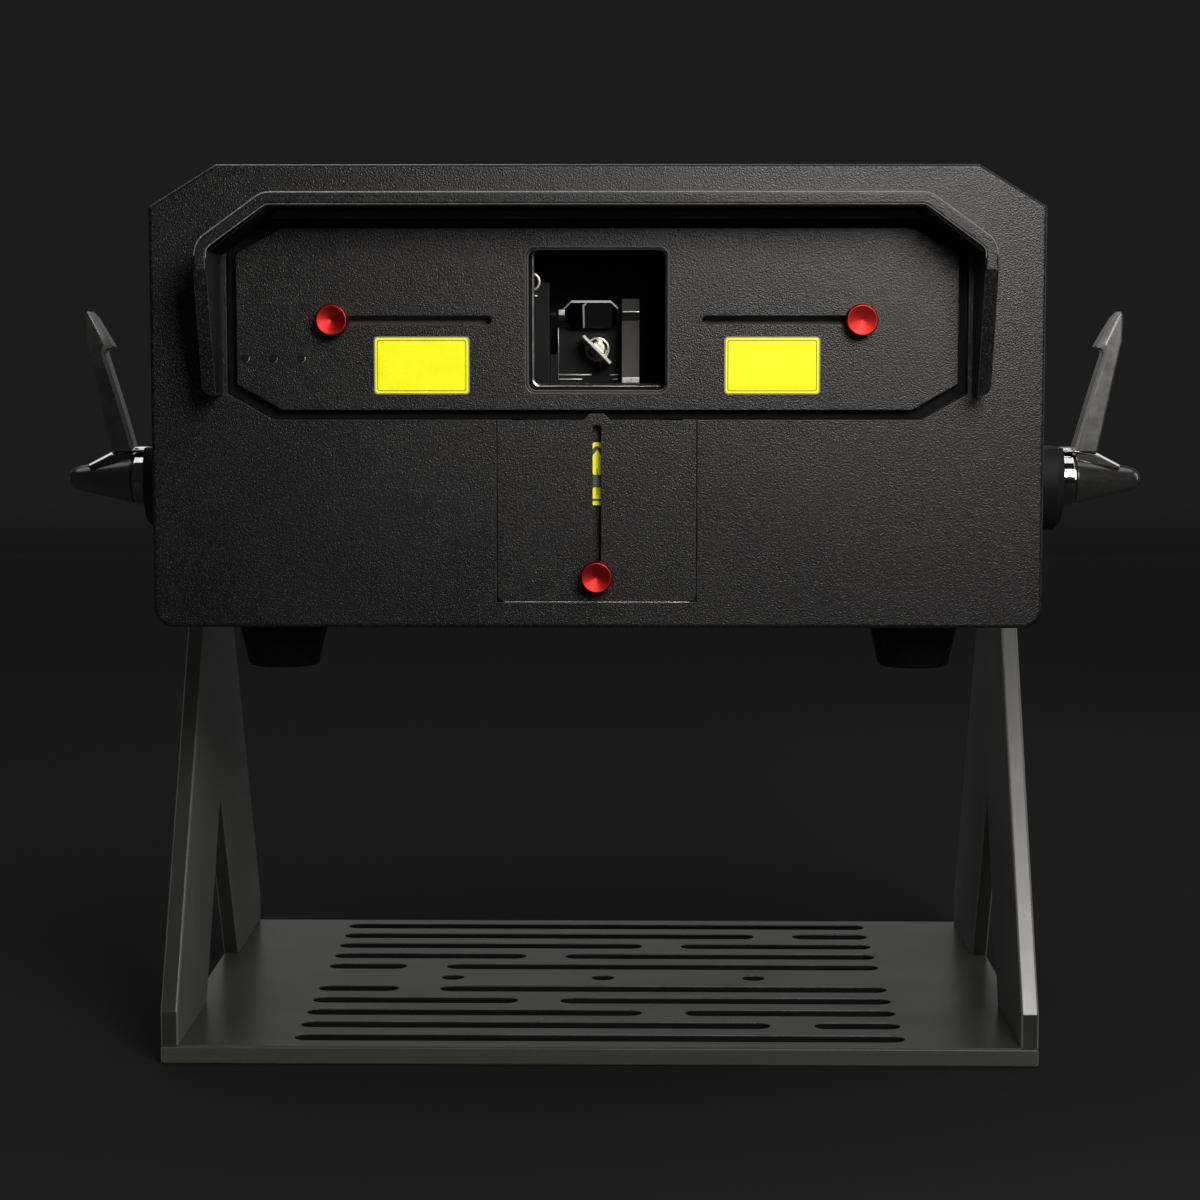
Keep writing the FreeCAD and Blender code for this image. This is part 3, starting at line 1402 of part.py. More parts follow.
def beam_port():
    """Upright post beside the scanner that the combined beam passes through."""
    base = PIVOT_Z + " + bench_top"
    front = "(-scan_y - port_depth / 2)"
    post = box("port_post", ("port_left", front, base), ("port_width", "port_depth", "port_height"))
    groove = box("port_groove",
                 ("port_left - overrun", front + " - overrun", base + " + port_groove_low"),
                 ("port_width + 2 * overrun", "port_groove_depth + overrun", "port_groove_height"))
    bore = cylinder("port_bore", ("port_left - overrun", "-scan_y", PIVOT_Z + " + " + BEAM),
                    "port_bore_radius",
                    "port_width + 2 * overrun", "X")
    return node(cut("beam_port", post, [groove, bore]), "beam_port")


MODULES = {"red_laser_module": -1, "green_laser_module": 0, "blue_laser_module": 1}


def laser_module(label, step):
    """Sealed diode module with a short nozzle at beam height."""
    middle = "(scan_x + %d * module_pitch)" % step
    base = PIVOT_Z + " + bench_top"
    case = box(label + "_case", (middle + " - module_width / 2", "module_front", base),
               ("module_width", "module_length", "module_height"))
    nozzle = cylinder(label + "_nozzle",
                      (middle, "module_front - nozzle_length", PIVOT_Z + " + " + BEAM), "nozzle_radius",
                      "nozzle_length + overrun", "Y")
    return node(fuse(label, [case, nozzle]), label)


def optic_places():
    spots = [("(scan_x + %d * module_pitch)" % step, "-combiner_row") for step in MODULES.values()]
    return spots + [("fold_offset", "-combiner_row"), ("fold_offset", "-scan_y")]


OPTIC_TURN = FreeCAD.Rotation(FreeCAD.Vector(0, 0, 1), 45)


def diagonal_box(name, middle, base, length, width, height):
    """Box turned by an eighth about its own upright axis."""
    thing = doc.addObject("Part::Box", name)
    bind(thing, "Length", length)
    bind(thing, "Width", width)
    bind(thing, "Height", height)
    half = "((%s) / 2 * sqrt(2) / 2)" % length
    deep = "((%s) / 2 * sqrt(2) / 2)" % width
    spot = ("%s - %s + %s" % (middle[0], half, deep), "%s - %s - %s" % (middle[1], half, deep), base)
    return place(thing, spot, OPTIC_TURN)


def combining_mirrors():
    mirrors = []
    for i, middle in enumerate(optic_places()):
        mirrors.append(diagonal_box("optic_%d" % i, middle, PIVOT_Z + " + bench_top + optic_base_height",
                                    "optic_size", "optic_thickness", "optic_height"))
    return node(group("optic_group", mirrors), "combining_mirrors")


FIN_COUNT = 15


def heat_sink():
    base = PIVOT_Z + " + bench_top"
    left = "(scan_x - sink_width / 2)"
    pieces = [box("sink_base_plate", (left, "sink_front", base),
                  ("sink_width", "sink_length", "sink_base"))]
    for i in range(FIN_COUNT):
        spot = "(%s + %d * (sink_width - fin_thickness) / %d)" % (left, i, FIN_COUNT - 1)
        pieces.append(box("fin_%d" % i, (spot, "sink_front", base),
                          ("fin_thickness", "sink_length", "sink_height")))
    return node(fuse("heat_sink", pieces), "heat_sink")


# Electronics

def power_supply():
    """Folded case of the power supply, open towards the floor that it stands on."""
    left = "-(supply_width + board_post_inset)"
    base = PIVOT_Z + " + " + FLOOR
    case = box("supply_case", (left, "-supply_front", base),
               ("supply_width", "supply_length", "supply_height"))
    hollow = box("supply_hollow",
                 (left + " + supply_wall", "supply_wall - supply_front", base + " - overrun"),
                 ("supply_width - 2 * supply_wall", "supply_length - 2 * supply_wall",
                  "supply_height - supply_wall + overrun"))
    return node(cut("power_supply", case, [hollow]), "power_supply")


BOARDS = {"control_board": "-(board_length + board_post_inset * 2)",
          "driver_board": "(board_post_inset * 2)"}
BOARD_PART_SHARES = ((0.12, 0.15), (0.5, 0.2), (0.2, 0.6), (0.62, 0.58))


def circuit_board(label, front):
    """Printed board with its tall components, on four moulded feet."""
    base = PIVOT_Z + " + " + FLOOR + " + board_lift"
    sheet_box = box(label + "_sheet", ("board_left", front, base),
                    ("board_width", "board_length", "board_thickness"))
    pieces = [sheet_box]
    for i, (across, deep) in enumerate(BOARD_PART_SHARES):
        spot = ("board_left + %r * board_width" % across, "%s + %r * board_length" % (front, deep), base)
        pieces.append(box("%s_part_%d" % (label, i), spot, ("board_part_width", "board_part_width",
                                                            "board_thickness + board_part_height")))
    for across in ("board_left + board_post_inset", "board_left + board_width - board_post_inset"):
        for deep in (front + " + board_post_inset", front + " + board_length - board_post_inset"):
            pieces.append(cylinder("%s_foot_%d" % (label, len(pieces)),
                                   (across, deep, PIVOT_Z + " + " + FLOOR),
                                   "board_post_radius", "board_lift + board_thickness / 2"))
    return node(fuse(label, pieces), label)


# Fans

BLADE_COUNT = 7
BLADE_PITCH = 35.0


def fan_frame(label, across):
    """Square frame with a motor boss on struts and the shaft that the rotor runs on."""
    height = PIVOT_Z + " + fan_rise"
    rear = HOUSING_REAR
    case = box(label + "_case",
               (across + " - fan_size / 2", rear + " - fan_depth", height + " - fan_size / 2"),
               ("fan_size", "fan_depth", "fan_size"))
    bore = cylinder(label + "_bore", (across, rear + " - fan_depth - overrun", height), "fan_bore_radius",
                    "fan_depth + 2 * overrun", "Y")
    ring = cut(label + "_ring", case, [bore])
    inner = rear + " - fan_depth"
    boss = cylinder(label + "_boss", (across, inner, height), "fan_motor_radius", "fan_motor_depth", "Y")
    shaft = cylinder(label + "_shaft", (across, inner, height), "fan_shaft_radius",
                     "fan_motor_depth + fan_shaft_length", "Y")
    level = box(label + "_level_strut",
                (across + " - fan_size / 2", inner, height + " - fan_strut_width / 2"),
                ("fan_size", "fan_strut_width", "fan_strut_width"))
    upright = box(label + "_upright_strut",
                  (across + " - fan_strut_width / 2", inner, height + " - fan_size / 2"),
                  ("fan_strut_width", "fan_strut_width", "fan_size"))
    return fuse(label, [ring, boss, shaft, level, upright])


def fan_frames():
    frames = [fan_frame("left_fan_frame", "-fan_offset"), fan_frame("right_fan_frame", "fan_offset")]
    return node(group("fan_frame_group", frames), "fan_frames")


def fan_rotor(label, across):
    """Hub with pitched blades, bored to run on the fan's shaft."""
    height = PIVOT_Z + " + fan_rise"
    back = HOUSING_REAR + " - fan_depth + fan_motor_depth + rotor_gap"
    hub = cylinder(label + "_hub", (across, back, height), "fan_motor_radius", "rotor_length", "Y")
    bore = cylinder(label + "_bore", (across, back + " - overrun", height),
                    "fan_shaft_radius + running_clearance",
                    "fan_shaft_length + overrun", "Y")
    blades = []
    for i in range(BLADE_COUNT):
        angle = 360.0 * i / BLADE_COUNT
        turn = FreeCAD.Rotation(FreeCAD.Vector(0, 1, 0), angle)
        twist = turn.multiply(FreeCAD.Rotation(FreeCAD.Vector(1, 0, 0), BLADE_PITCH))
        blade = doc.addObject("Part::Box", "%s_blade_%d" % (label, i))
        bind(blade, "Length", "blade_radius - fan_motor_radius / 2")
        bind(blade, "Width", "rotor_length")
        bind(blade, "Height", "blade_thickness")
        start = turn.multVec(FreeCAD.Vector(1, 0, 0))
        low = twist.multVec(FreeCAD.Vector(0, -1, 0))
        spot = []
        for axis, middle in zip("xyz", (across, back + " + rotor_length / 2", height)):
            spot.append("%s + %r * fan_motor_radius / 2 + %r * rotor_length / 2" % (middle,
                                                                                    getattr(start, axis),
                                                                                   getattr(low, axis)))
        blades.append(place(blade, spot, twist))
    return node(cut(label, fuse(label + "_solid", [hub] + blades), [bore]), label)


def guard_ring(name, across, height, radius):
    """One flat ring of a fan guard, lying on the rear panel."""
    disc = cylinder(name + "_disc", (across, REAR_FACE, height), radius, "guard_depth", "Y")
    hole = cylinder(name + "_hole", (across, REAR_FACE + " - overrun", height), radius + " - guard_wire",
                    "guard_depth + 2 * overrun", "Y")
    return cut(name, disc, [hole])


def fan_guards():
    guards = []
    height = PIVOT_Z + " + fan_rise"
    reach = "(fan_bore_radius + guard_margin)"
    for across in ("-fan_offset", "fan_offset"):
        name = "guard_%d" % len(guards)
        pieces = []
        for ring in range(GUARD_RINGS):
            pieces.append(guard_ring("%s_ring_%d" % (name, ring), across, height,
                                     "%s - %d * guard_step" % (reach, ring)))
        bar = "(%s - guard_wire / 2)" % reach
        pieces.append(box(name + "_level",
                          (across + " - " + bar, REAR_FACE, height + " - guard_wire / 2"),
                          ("2 * " + bar, "guard_depth / 2", "guard_wire")))
        pieces.append(box(name + "_upright",
                          (across + " - guard_wire / 2", REAR_FACE, height + " - " + bar),
                          ("guard_wire", "guard_depth / 2", "2 * " + bar)))
        guards.append(fuse(name, pieces))
    return node(group("guard_group", guards), "fan_guards")


GUARD_RINGS = 4


# Rear fittings

def power_inlet():
    """One moulding with the mains inlet, its three blades and the frame of the switch."""
    height = PIVOT_Z + " + fitting_height"
    left = "(inlet_offset - inlet_width / 2)"
    flange = box("inlet_flange", (left, REAR_FACE, height + " - inlet_height / 2"),
                 ("rocker_offset + rocker_frame_width / 2 - " + left, "flange_thickness", "inlet_height"))
    case = box("inlet_case", ("inlet_offset - inlet_body_width / 2", REAR_FACE + " - inlet_body_depth",
                              height + " - inlet_body_height / 2"),
               ("inlet_body_width", "inlet_body_depth", "inlet_body_height"))
    hollow = box("inlet_hollow", ("inlet_offset - inlet_body_width / 2 + inlet_wall",
                                  REAR_FACE + " + flange_thickness - inlet_pocket_depth",
                                  height + " - inlet_body_height / 2 + inlet_wall"),
                 ("inlet_body_width - 2 * inlet_wall", "inlet_pocket_depth + overrun",
                  "inlet_body_height - 2 * inlet_wall"))
    blades = []
    for i, (across, rise) in enumerate(INLET_BLADE_SHARES):
        blades.append(box("inlet_blade_%d" % i,
                          ("inlet_offset + %r * inlet_body_width - inlet_wall / 2" % across,
                           REAR_FACE + " + flange_thickness - inlet_pocket_depth - overrun",
                           height + " + %r * inlet_body_height - inlet_wall" % rise),
                          ("inlet_wall", "inlet_pocket_depth - overrun", "2 * inlet_wall")))
    switch_case = box("rocker_case",
                      ("rocker_offset - %s / 2" % ROCKER_WIDE, REAR_FACE + " - rocker_depth",
                                      height + " - %s / 2" % ROCKER_TALL),
                      (ROCKER_WIDE, "rocker_depth", ROCKER_TALL))
    switch_hollow = box("rocker_hollow", ("rocker_offset - %s / 2 + rocker_wall" % ROCKER_WIDE,
                                          REAR_FACE + " - rocker_depth + rocker_wall",
                                          height + " - %s / 2 + rocker_wall" % ROCKER_TALL),
                        (ROCKER_WIDE + " - 2 * rocker_wall", "rocker_depth + flange_thickness",
                         ROCKER_TALL + " - 2 * rocker_wall"))
    pin = cylinder("rocker_pin", ("rocker_offset - %s / 2" % ROCKER_WIDE, REAR_FACE, height),
                   "rocker_pin_radius",
                   ROCKER_WIDE, "X")
    solid = fuse("inlet_solid", [flange, case, switch_case])
    shell = cut("inlet_shell", solid, [hollow, switch_hollow])
    return node(fuse("power_inlet", [shell, pin] + blades), "power_inlet")


ROCKER_TILT = -10.0
INLET_BLADE_SHARES = ((-0.24, -0.1), (0.0, 0.14), (0.24, -0.1))
ROCKER_WIDE = "(rocker_frame_width - 2 * rocker_wall)"
ROCKER_TALL = "(rocker_frame_height - 2 * rocker_wall)"


def power_rocker():
    """Rocker that tips in the switch frame on its pin."""
    wide = "(%s - 2 * rocker_wall - 2 * rocker_swing_gap)" % ROCKER_WIDE
    reach = "(%s / 2 - rocker_wall - rocker_end_gap)" % ROCKER_TALL
    tipped = FreeCAD.Rotation(FreeCAD.Vector(1, 0, 0), ROCKER_TILT)
    spot = ("rocker_offset - %s / 2" % wide, REAR_FACE, PIVOT_Z + " + fitting_height")
    body = make_body("power_rocker", spot, tipped)
    sketch = add_sketch(body, "rocker_outline", "YZ_Plane")
    outline(sketch, [
        ("-rocker_sink", "-" + reach), ("rocker_stand", "-" + reach), ("rocker_dip", "0"),
        ("rocker_stand", reach),
        ("-rocker_sink", reach),
    ])
    pad(body, sketch, wide)
    bore = add_sketch(body, "rocker_bore", "YZ_Plane", wide)
    circle(bore, ("0", "0"), "rocker_pin_radius + running_clearance")
    pocket(body, bore, wide + " + overrun")
    return node(body, "power_rocker")


def key_switch():
    """Barrel with its flange, and the plug that turns in it with the key."""
    height = PIVOT_Z + " + key_height"
    bore = "(key_plug_radius + running_clearance)"
    profile = [
        ("0", "-key_barrel_depth"), ("key_barrel_radius", "-key_barrel_depth"),
        ("key_barrel_radius", "0"),
        ("key_flange_radius", "0"), ("key_flange_radius", "flange_thickness"), (bore, "flange_thickness"),
        (bore, "flange_thickness - key_plug_depth"), ("0", "flange_thickness - key_plug_depth"),
    ]
    node(turned("key_switch", profile, ("key_offset", REAR_FACE, height), "Y"), "key_switch")
    plug = cylinder("key_plug",
                    ("key_offset", REAR_FACE + " + flange_thickness - key_plug_depth + face_gap", height),
                    "key_plug_radius", "key_plug_depth - face_gap", "Y")
    face = REAR_FACE + " + flange_thickness"
    neck = box("key_neck_bar",
               ("key_offset - key_bow_thickness / 2", face, height + " - key_plug_radius / 2"),
               ("key_bow_thickness", "key_neck", "key_plug_radius"))
    bow = box("key_bow",
              ("key_offset - key_bow_thickness / 2", face + " + key_neck",
               height + " - key_bow_height / 2"),
              ("key_bow_thickness", "key_bow_width", "key_bow_height"))
    return node(fuse("switch_key", [plug, neck, bow]), "switch_key")


def data_places():
    return ["(data_offset + %d * data_pitch)" % i for i in range(DATA_COUNT)]


DATA_COUNT = 3


def data_sockets():
    """Round panel sockets for control signals, each with an open mouth."""
    height = PIVOT_Z + " + fitting_height"
    sockets = []
    for across in data_places():
        name = "data_socket_%d" % len(sockets)
        flange = box(name + "_flange",
                     (across + " - data_flange_width / 2", REAR_FACE,
                      height + " - data_flange_height / 2"),
                     ("data_flange_width", "flange_thickness", "data_flange_height"))
        case = cylinder(name + "_case", (across, REAR_FACE + " - data_depth", height), "data_radius",
                        "data_depth", "Y")
        mouth = cylinder(name + "_mouth", (across, REAR_FACE + " - data_depth / 2", height),
                         "data_radius - data_wall",
                         "data_depth / 2 + flange_thickness + overrun", "Y")
        core = cylinder(name + "_core", (across, REAR_FACE + " - data_depth", height),
                        "data_radius - data_wall * 3",
                        "data_depth", "Y")
        shell = cut(name + "_shell", fuse(name + "_solid", [flange, case]), [mouth])
        sockets.append(fuse(name, [shell, core]))
    return node(group("data_socket_group", sockets), "data_sockets")


def ilda_socket():
    """Wide flat multi-pin socket for the scanner signal."""
    height = PIVOT_Z + " + fitting_height"
    flange = box("ilda_flange",
                 ("ilda_offset - ilda_width / 2", REAR_FACE, height + " - ilda_height / 2"),
                 ("ilda_width", "flange_thickness / 2", "ilda_height"))
    case = box("ilda_case",
               ("ilda_offset - ilda_shell_width / 2", REAR_FACE + " - ilda_depth",
                height + " - ilda_shell_height / 2"),
               ("ilda_shell_width", "ilda_depth + ilda_stand", "ilda_shell_height"))
    return node(fuse("ilda_socket", [flange, case]), "ilda_socket")


def safety_eyelet():
    """Ring bolt for a safety rope."""
    height = PIVOT_Z + " + eyelet_height"
    base = cylinder("eyelet_base", ("0", REAR_FACE, height), "eyelet_base_radius", "eyelet_base_height",
                    "Y")
    shank = cylinder("eyelet_shank", ("0", REAR_FACE + " - eyelet_shank_length", height),
                     "eyelet_shank_radius",
                     "eyelet_shank_length", "Y")
    ring = torus("eyelet_ring", ("0", REAR_FACE + " + eyelet_base_height + eyelet_ring_radius", height),
                 "eyelet_ring_radius",
                 "eyelet_wire", "X")
    return node(fuse("safety_eyelet", [base, shank, ring]), "safety_eyelet")


# The whole projector

base_plate()
leg("left_leg", "-" + LEG_OUTER)
leg("right_leg", LEG_INNER)
leg_screws()
pivot_spacers()
for side, word in ((-1, "left"), (1, "right")):
    lever_stud(word + "_lever_stud", side)
    lever_handle(word + "_lever_handle", side)
    side_panel(word + "_side_panel", side)
friction_washers()
front_bezel()
visor_hood()
aperture_panel()
label_plates()
shutter_cover()
indicator_leds()
side_shutter("left_shutter", -1, 1)
side_shutter("right_shutter", 1, 2)
lower_shutter()
arrow_strip()
shutter_knob("left_knob", "-shutter_rest", "aperture_middle")
shutter_knob("right_knob", "shutter_rest", "aperture_middle")
shutter_knob("lower_knob", "0", "(-lower_rest_drop)")
shutter_guide()
aperture_glass()
bottom_plate()
top_cover()
rear_panel()
rear_screws()
feet()
foot_screws()
optical_bench()
bench_posts()
scanner_block()
galvo_motors()
small_mirror()
large_mirror()
beam_port()
for label, step in MODULES.items():
    laser_module(label, step)
combining_mirrors()
heat_sink()
power_supply()
for label, front in BOARDS.items():
    circuit_board(label, front)
fan_frames()
for word, across in (("left", "-fan_offset"), ("right", "fan_offset")):
    fan_rotor(word + "_fan_rotor", across)
fan_guards()
power_inlet()
power_rocker()
key_switch()
data_sockets()
ilda_socket()
safety_eyelet()
doc.recompute()

for thing in doc.Objects:
    if "Invalid" in thing.State or "Error" in thing.State:
        raise ValueError("failed to build: " + thing.Label)
for thing in nodes:
    if thing.Shape.isNull() or not thing.Shape.isValid():
        raise ValueError("bad shape: " + thing.Label)

os.makedirs("parts", exist_ok=True)
for thing in nodes:
    thing.Shape.exportStep("parts/%s.step" % thing.Label)
print(len(nodes), "nodes written")
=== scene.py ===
import math

import bmesh
import bpy
from mathutils import Matrix, Vector


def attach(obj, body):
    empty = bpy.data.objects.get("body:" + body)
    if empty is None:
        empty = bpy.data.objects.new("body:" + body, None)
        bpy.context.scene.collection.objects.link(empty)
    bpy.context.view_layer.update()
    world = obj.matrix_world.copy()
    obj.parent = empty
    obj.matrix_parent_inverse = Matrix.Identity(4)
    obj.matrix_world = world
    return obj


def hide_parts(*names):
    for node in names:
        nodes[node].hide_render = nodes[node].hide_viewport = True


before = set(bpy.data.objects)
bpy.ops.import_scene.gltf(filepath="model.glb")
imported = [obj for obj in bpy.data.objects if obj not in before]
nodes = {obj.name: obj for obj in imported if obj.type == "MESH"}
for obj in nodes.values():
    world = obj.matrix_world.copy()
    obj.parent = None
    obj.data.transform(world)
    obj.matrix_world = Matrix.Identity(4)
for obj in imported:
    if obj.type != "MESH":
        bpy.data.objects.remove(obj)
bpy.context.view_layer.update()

# Laser show projector: its looks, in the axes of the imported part.
# Shapes are in millimetres, which place() turns into metres. Materials, lamps and camera use metres.

MM = 0.001
CREASE = math.radians(32)

# Levels of the part: heights above the floor, faces of the head from front to back, then its top and side
PIVOT_Z = 247.5
APERTURE_Z = PIVOT_Z + 73.6
LABEL_Z = PIVOT_Z + 55.2
LIGHTS_Z = PIVOT_Z + 58.0
FITTING_Z = PIVOT_Z - 14.0
BENCH_TOP = 295.0
HOOD_FRONT = -217.0
PANEL_FRONT = -177.0
PANEL_BACK = -171.0
GUIDE_FRONT = -163.0
BLOCK_FRONT = -128.0
REAR_FACE = 200.0
TOP_FACE = 380.3
SIDE_FACE = 178.0

# Fittings on the front and back (across, up), the large mirror (deep, up) and the start of the lever hubs
KNOBS = {"left": (-107.0, APERTURE_Z), "right": (107.0, APERTURE_Z), "lower": (0.0, PIVOT_Z - 30.6)}
LABELS = (-71.2, 71.2)
LIGHTS = (-143.0, -131.6, -120.2)
SMALL_MIRROR = (-0.4, 309.0)
LARGE_MIRROR = (-138.0, 323.6)
HUB_START = 221.2
FAN_X = 100.0
FAN_Z = 309.5
FAN_HOLES = (-35.75, 35.75)
ROUND_SOCKETS = (-40.0, -4.0, 32.0)
FLAT_SOCKET = 116.0
MAINS_INLET = -136.0

# Colours of the studio
SKY_LIGHT = (0.205, 0.213, 0.225)
BACKDROP = (0.0116, 0.0116, 0.0116)
PALE_FLOOR = (0.66, 0.66, 0.655)
DARK_FLOOR = (0.0132, 0.0132, 0.0132)
WARM_LIGHT = (1.0, 0.955, 0.91)
WHITE_LIGHT = (1.0, 1.0, 1.0)


# Node helpers for materials

def start_material(name, color, roughness, metallic=0.0, gloss=0.5):
    mat = bpy.data.materials.new(name)
    mat.use_nodes = True
    shader = mat.node_tree.nodes["Principled BSDF"]
    shader.inputs["Base Color"].default_value = (*color, 1.0)
    shader.inputs["Roughness"].default_value = roughness
    shader.inputs["Metallic"].default_value = metallic
    shader.inputs["Specular IOR Level"].default_value = gloss
    return mat, mat.node_tree, shader


def add_node(tree, kind, **values):
    node = tree.nodes.new(kind)
    for key, value in values.items():
        setattr(node, key, value)
    return node


def object_coords(tree, stretch=(1.0, 1.0, 1.0)):
    """Coordinates of the part's own axes, scaled per axis."""
    coords = add_node(tree, "ShaderNodeTexCoord")
    mapping = add_node(tree, "ShaderNodeMapping")
    mapping.inputs["Scale"].default_value = stretch
    tree.links.new(coords.outputs["Object"], mapping.inputs["Vector"])
    return mapping.outputs["Vector"]


def noise(tree, scale, detail=2.0, vector=None):
    node = add_node(tree, "ShaderNodeTexNoise")
    node.inputs["Scale"].default_value = scale
    node.inputs["Detail"].default_value = detail
    tree.links.new(vector or object_coords(tree), node.inputs["Vector"])
    return node.outputs["Fac"]


def grains(tree, scale):
    """Distance to the nearest grain, for rough coats."""
    node = add_node(tree, "ShaderNodeTexVoronoi", feature="SMOOTH_F1")
    node.inputs["Scale"].default_value = scale
    tree.links.new(object_coords(tree), node.inputs["Vector"])
    return node.outputs["Distance"]


def maths(tree, operation, first, second=0.0, third=0.0):
    node = add_node(tree, "ShaderNodeMath", operation=operation)
    for socket, value in zip(node.inputs, (first, second, third)):
        if isinstance(value, (int, float)):
            socket.default_value = value
        else:
            tree.links.new(value, socket)
    return node.outputs["Value"]


def spread(tree, value, low, high, from_low=0.3, from_high=0.7):
    """Map a value to a new range, clamped."""
    node = add_node(tree, "ShaderNodeMapRange")
    node.inputs["From Min"].default_value = from_low
    node.inputs["From Max"].default_value = from_high
    node.inputs["To Min"].default_value = low
    node.inputs["To Max"].default_value = high
    tree.links.new(value, node.inputs["Value"])
    return node.outputs["Result"]


def blend_colors(tree, factor, first, second):
    """Mix of two colours, each a tuple or a socket."""
    node = add_node(tree, "ShaderNodeMix", data_type="RGBA")
    tree.links.new(factor, node.inputs[0])
    for index, value in ((6, first), (7, second)):
        if isinstance(value, tuple):
            node.inputs[index].default_value = (*value, 1.0)
        else:
            tree.links.new(value, node.inputs[index])
    return node.outputs[2]


def backdrop_rays(tree):
    """1 for a ray that shows the backdrop: straight from the camera, off a mirror or through glass."""
    path = add_node(tree, "ShaderNodeLightPath")
    seen = maths(tree, "MAXIMUM", path.outputs["Is Camera Ray"], path.outputs["Is Glossy Ray"])
    return maths(tree, "MAXIMUM", seen, path.outputs["Is Transmission Ray"])


def bump(tree, height, strength, distance, normal=None):
    node = add_node(tree, "ShaderNodeBump")
    node.inputs["Strength"].default_value = strength
    node.inputs["Distance"].default_value = distance
    tree.links.new(height, node.inputs["Height"])
    if normal is not None:
        tree.links.new(normal, node.inputs["Normal"])
    return node.outputs["Normal"]


def soft_edges(tree, radius):
    """Rounded normal near edges, and a mask that is 1 right on them."""
    bevel = add_node(tree, "ShaderNodeBevel", samples=6)
    bevel.inputs["Radius"].default_value = radius
    geometry = add_node(tree, "ShaderNodeNewGeometry")
    dot = add_node(tree, "ShaderNodeVectorMath", operation="DOT_PRODUCT")
    tree.links.new(bevel.outputs["Normal"], dot.inputs[0])
    tree.links.new(geometry.outputs["Normal"], dot.inputs[1])
    mask = spread(tree, dot.outputs["Value"], 1.0, 0.0, from_low=0.8, from_high=0.99)
    return bevel.outputs["Normal"], mask


def grey(value):
    return (value, value, value)


def shade(color, factor, lift=0.0):
    return tuple(min(1.0, c * factor + lift) for c in color)


# Kinds of material

def coated(name, dark, light, edge, roughness, grain, depth, radius=0.0008, wear_and_highlight=0.5, gloss=0.5):
    """Painted or moulded surface: fine grain, cloudy tone and lighter edges, partly wear and partly painted
    highlight.
    """
    mat, tree, shader = start_material(name, dark, roughness[0], gloss=gloss)
    normal, mask = soft_edges(tree, radius)
    speck = noise(tree, grain * 0.75)
    fleck = spread(tree, speck, 0.0, 0.8, 0.52, 0.72)
    tone = maths(tree, "ADD", fleck, spread(tree, noise(tree, 7.0, 3.0), 0.0, 0.2))
    color = blend_colors(tree, tone, dark, light)
    # Lighter edges: partly wear, partly a painted highlight along them.
    worn_and_highlit = maths(tree, "MULTIPLY", mask, spread(tree, noise(tree, 60.0, 3.0), 0.25 * wear_and_highlight, wear_and_highlight))
    tree.links.new(blend_colors(tree, worn_and_highlit, color, edge), shader.inputs["Base Color"])
    tree.links.new(spread(tree, noise(tree, 22.0, 3.0), *roughness), shader.inputs["Roughness"])
    height = maths(tree, "ADD", grains(tree, grain), speck)
    tree.links.new(bump(tree, height, 0.6, depth, normal), shader.inputs["Normal"])
    return mat


def machined(name, color, roughness, stretch, scale=900.0, depth=0.00002, metallic=1.0):
    """Metal with fine lines along the axes that stretch makes long, and brighter edges as a painted
    highlight.
    """
    mat, tree, shader = start_material(name, color, roughness[0], metallic)
    normal, mask = soft_edges(tree, 0.0005)
    lines = noise(tree, scale, 2.0, object_coords(tree, stretch))
    tone = blend_colors(tree, spread(tree, lines, 0.0, 1.0), shade(color, 0.72), color)
    # Brighter edges: painted highlight.
    worn_and_highlit = maths(tree, "MULTIPLY", mask, 0.6)
    tree.links.new(blend_colors(tree, worn_and_highlit, tone, shade(color, 1.3, 0.05)), shader.inputs["Base Color"])
    cloud = maths(tree, "MULTIPLY", noise(tree, 20.0, 3.0), 0.5)
    blurred = maths(tree, "MULTIPLY_ADD", lines, 0.5, cloud)
    tree.links.new(spread(tree, blurred, *roughness), shader.inputs["Roughness"])
    tree.links.new(bump(tree, lines, 0.35, depth, normal), shader.inputs["Normal"])
    return mat


def turned_face(name, color, roughness, centre, pitch):
    """Metal turned about the Y axis: fine rings, a painted sheen that fans out from the centre, and a
    painted highlight on the rim.
    """
    mat, tree, shader = start_material(name, color, roughness[0], 1.0)
    normal, mask = soft_edges(tree, 0.0005)
    coords = add_node(tree, "ShaderNodeTexCoord")
    offset = add_node(tree, "ShaderNodeVectorMath", operation="SUBTRACT")
    offset.inputs[1].default_value = (centre[0] * MM, 0.0, centre[1] * MM)
    tree.links.new(coords.outputs["Object"], offset.inputs[0])
    parts = add_node(tree, "ShaderNodeSeparateXYZ")
    tree.links.new(offset.outputs["Vector"], parts.inputs["Vector"])
    across, up = parts.outputs["X"], parts.outputs["Z"]
    squares = maths(tree, "MULTIPLY_ADD", across, across, maths(tree, "MULTIPLY", up, up))
    turns = maths(tree, "MULTIPLY", maths(tree, "SQRT", squares), 2 * math.pi / pitch)
    rings = maths(tree, "SINE", turns)
    # Painted sheen: the colour swings lighter and darker in sectors round the centre.
    fan = maths(tree, "COSINE", maths(tree, "MULTIPLY", maths(tree, "ARCTAN2", across, up), 2.0))
    sheen = maths(tree, "MULTIPLY_ADD", rings, 0.14, maths(tree, "MULTIPLY", fan, 0.08))
    swing = 0.42
    tone = spread(tree, sheen, 0.0, 1.0, -swing, swing)
    face = blend_colors(tree, tone, shade(color, 0.82), shade(color, 1.15, 0.005))
    # Bright rim on the edges: painted highlight.
    tree.links.new(blend_colors(tree, mask, face, shade(color, 1.5, 0.06)), shader.inputs["Base Color"])
    tree.links.new(spread(tree, sheen, *roughness, -swing, swing), shader.inputs["Roughness"])
    tree.links.new(bump(tree, rings, 0.3, pitch * 0.05, normal), shader.inputs["Normal"])
    return mat


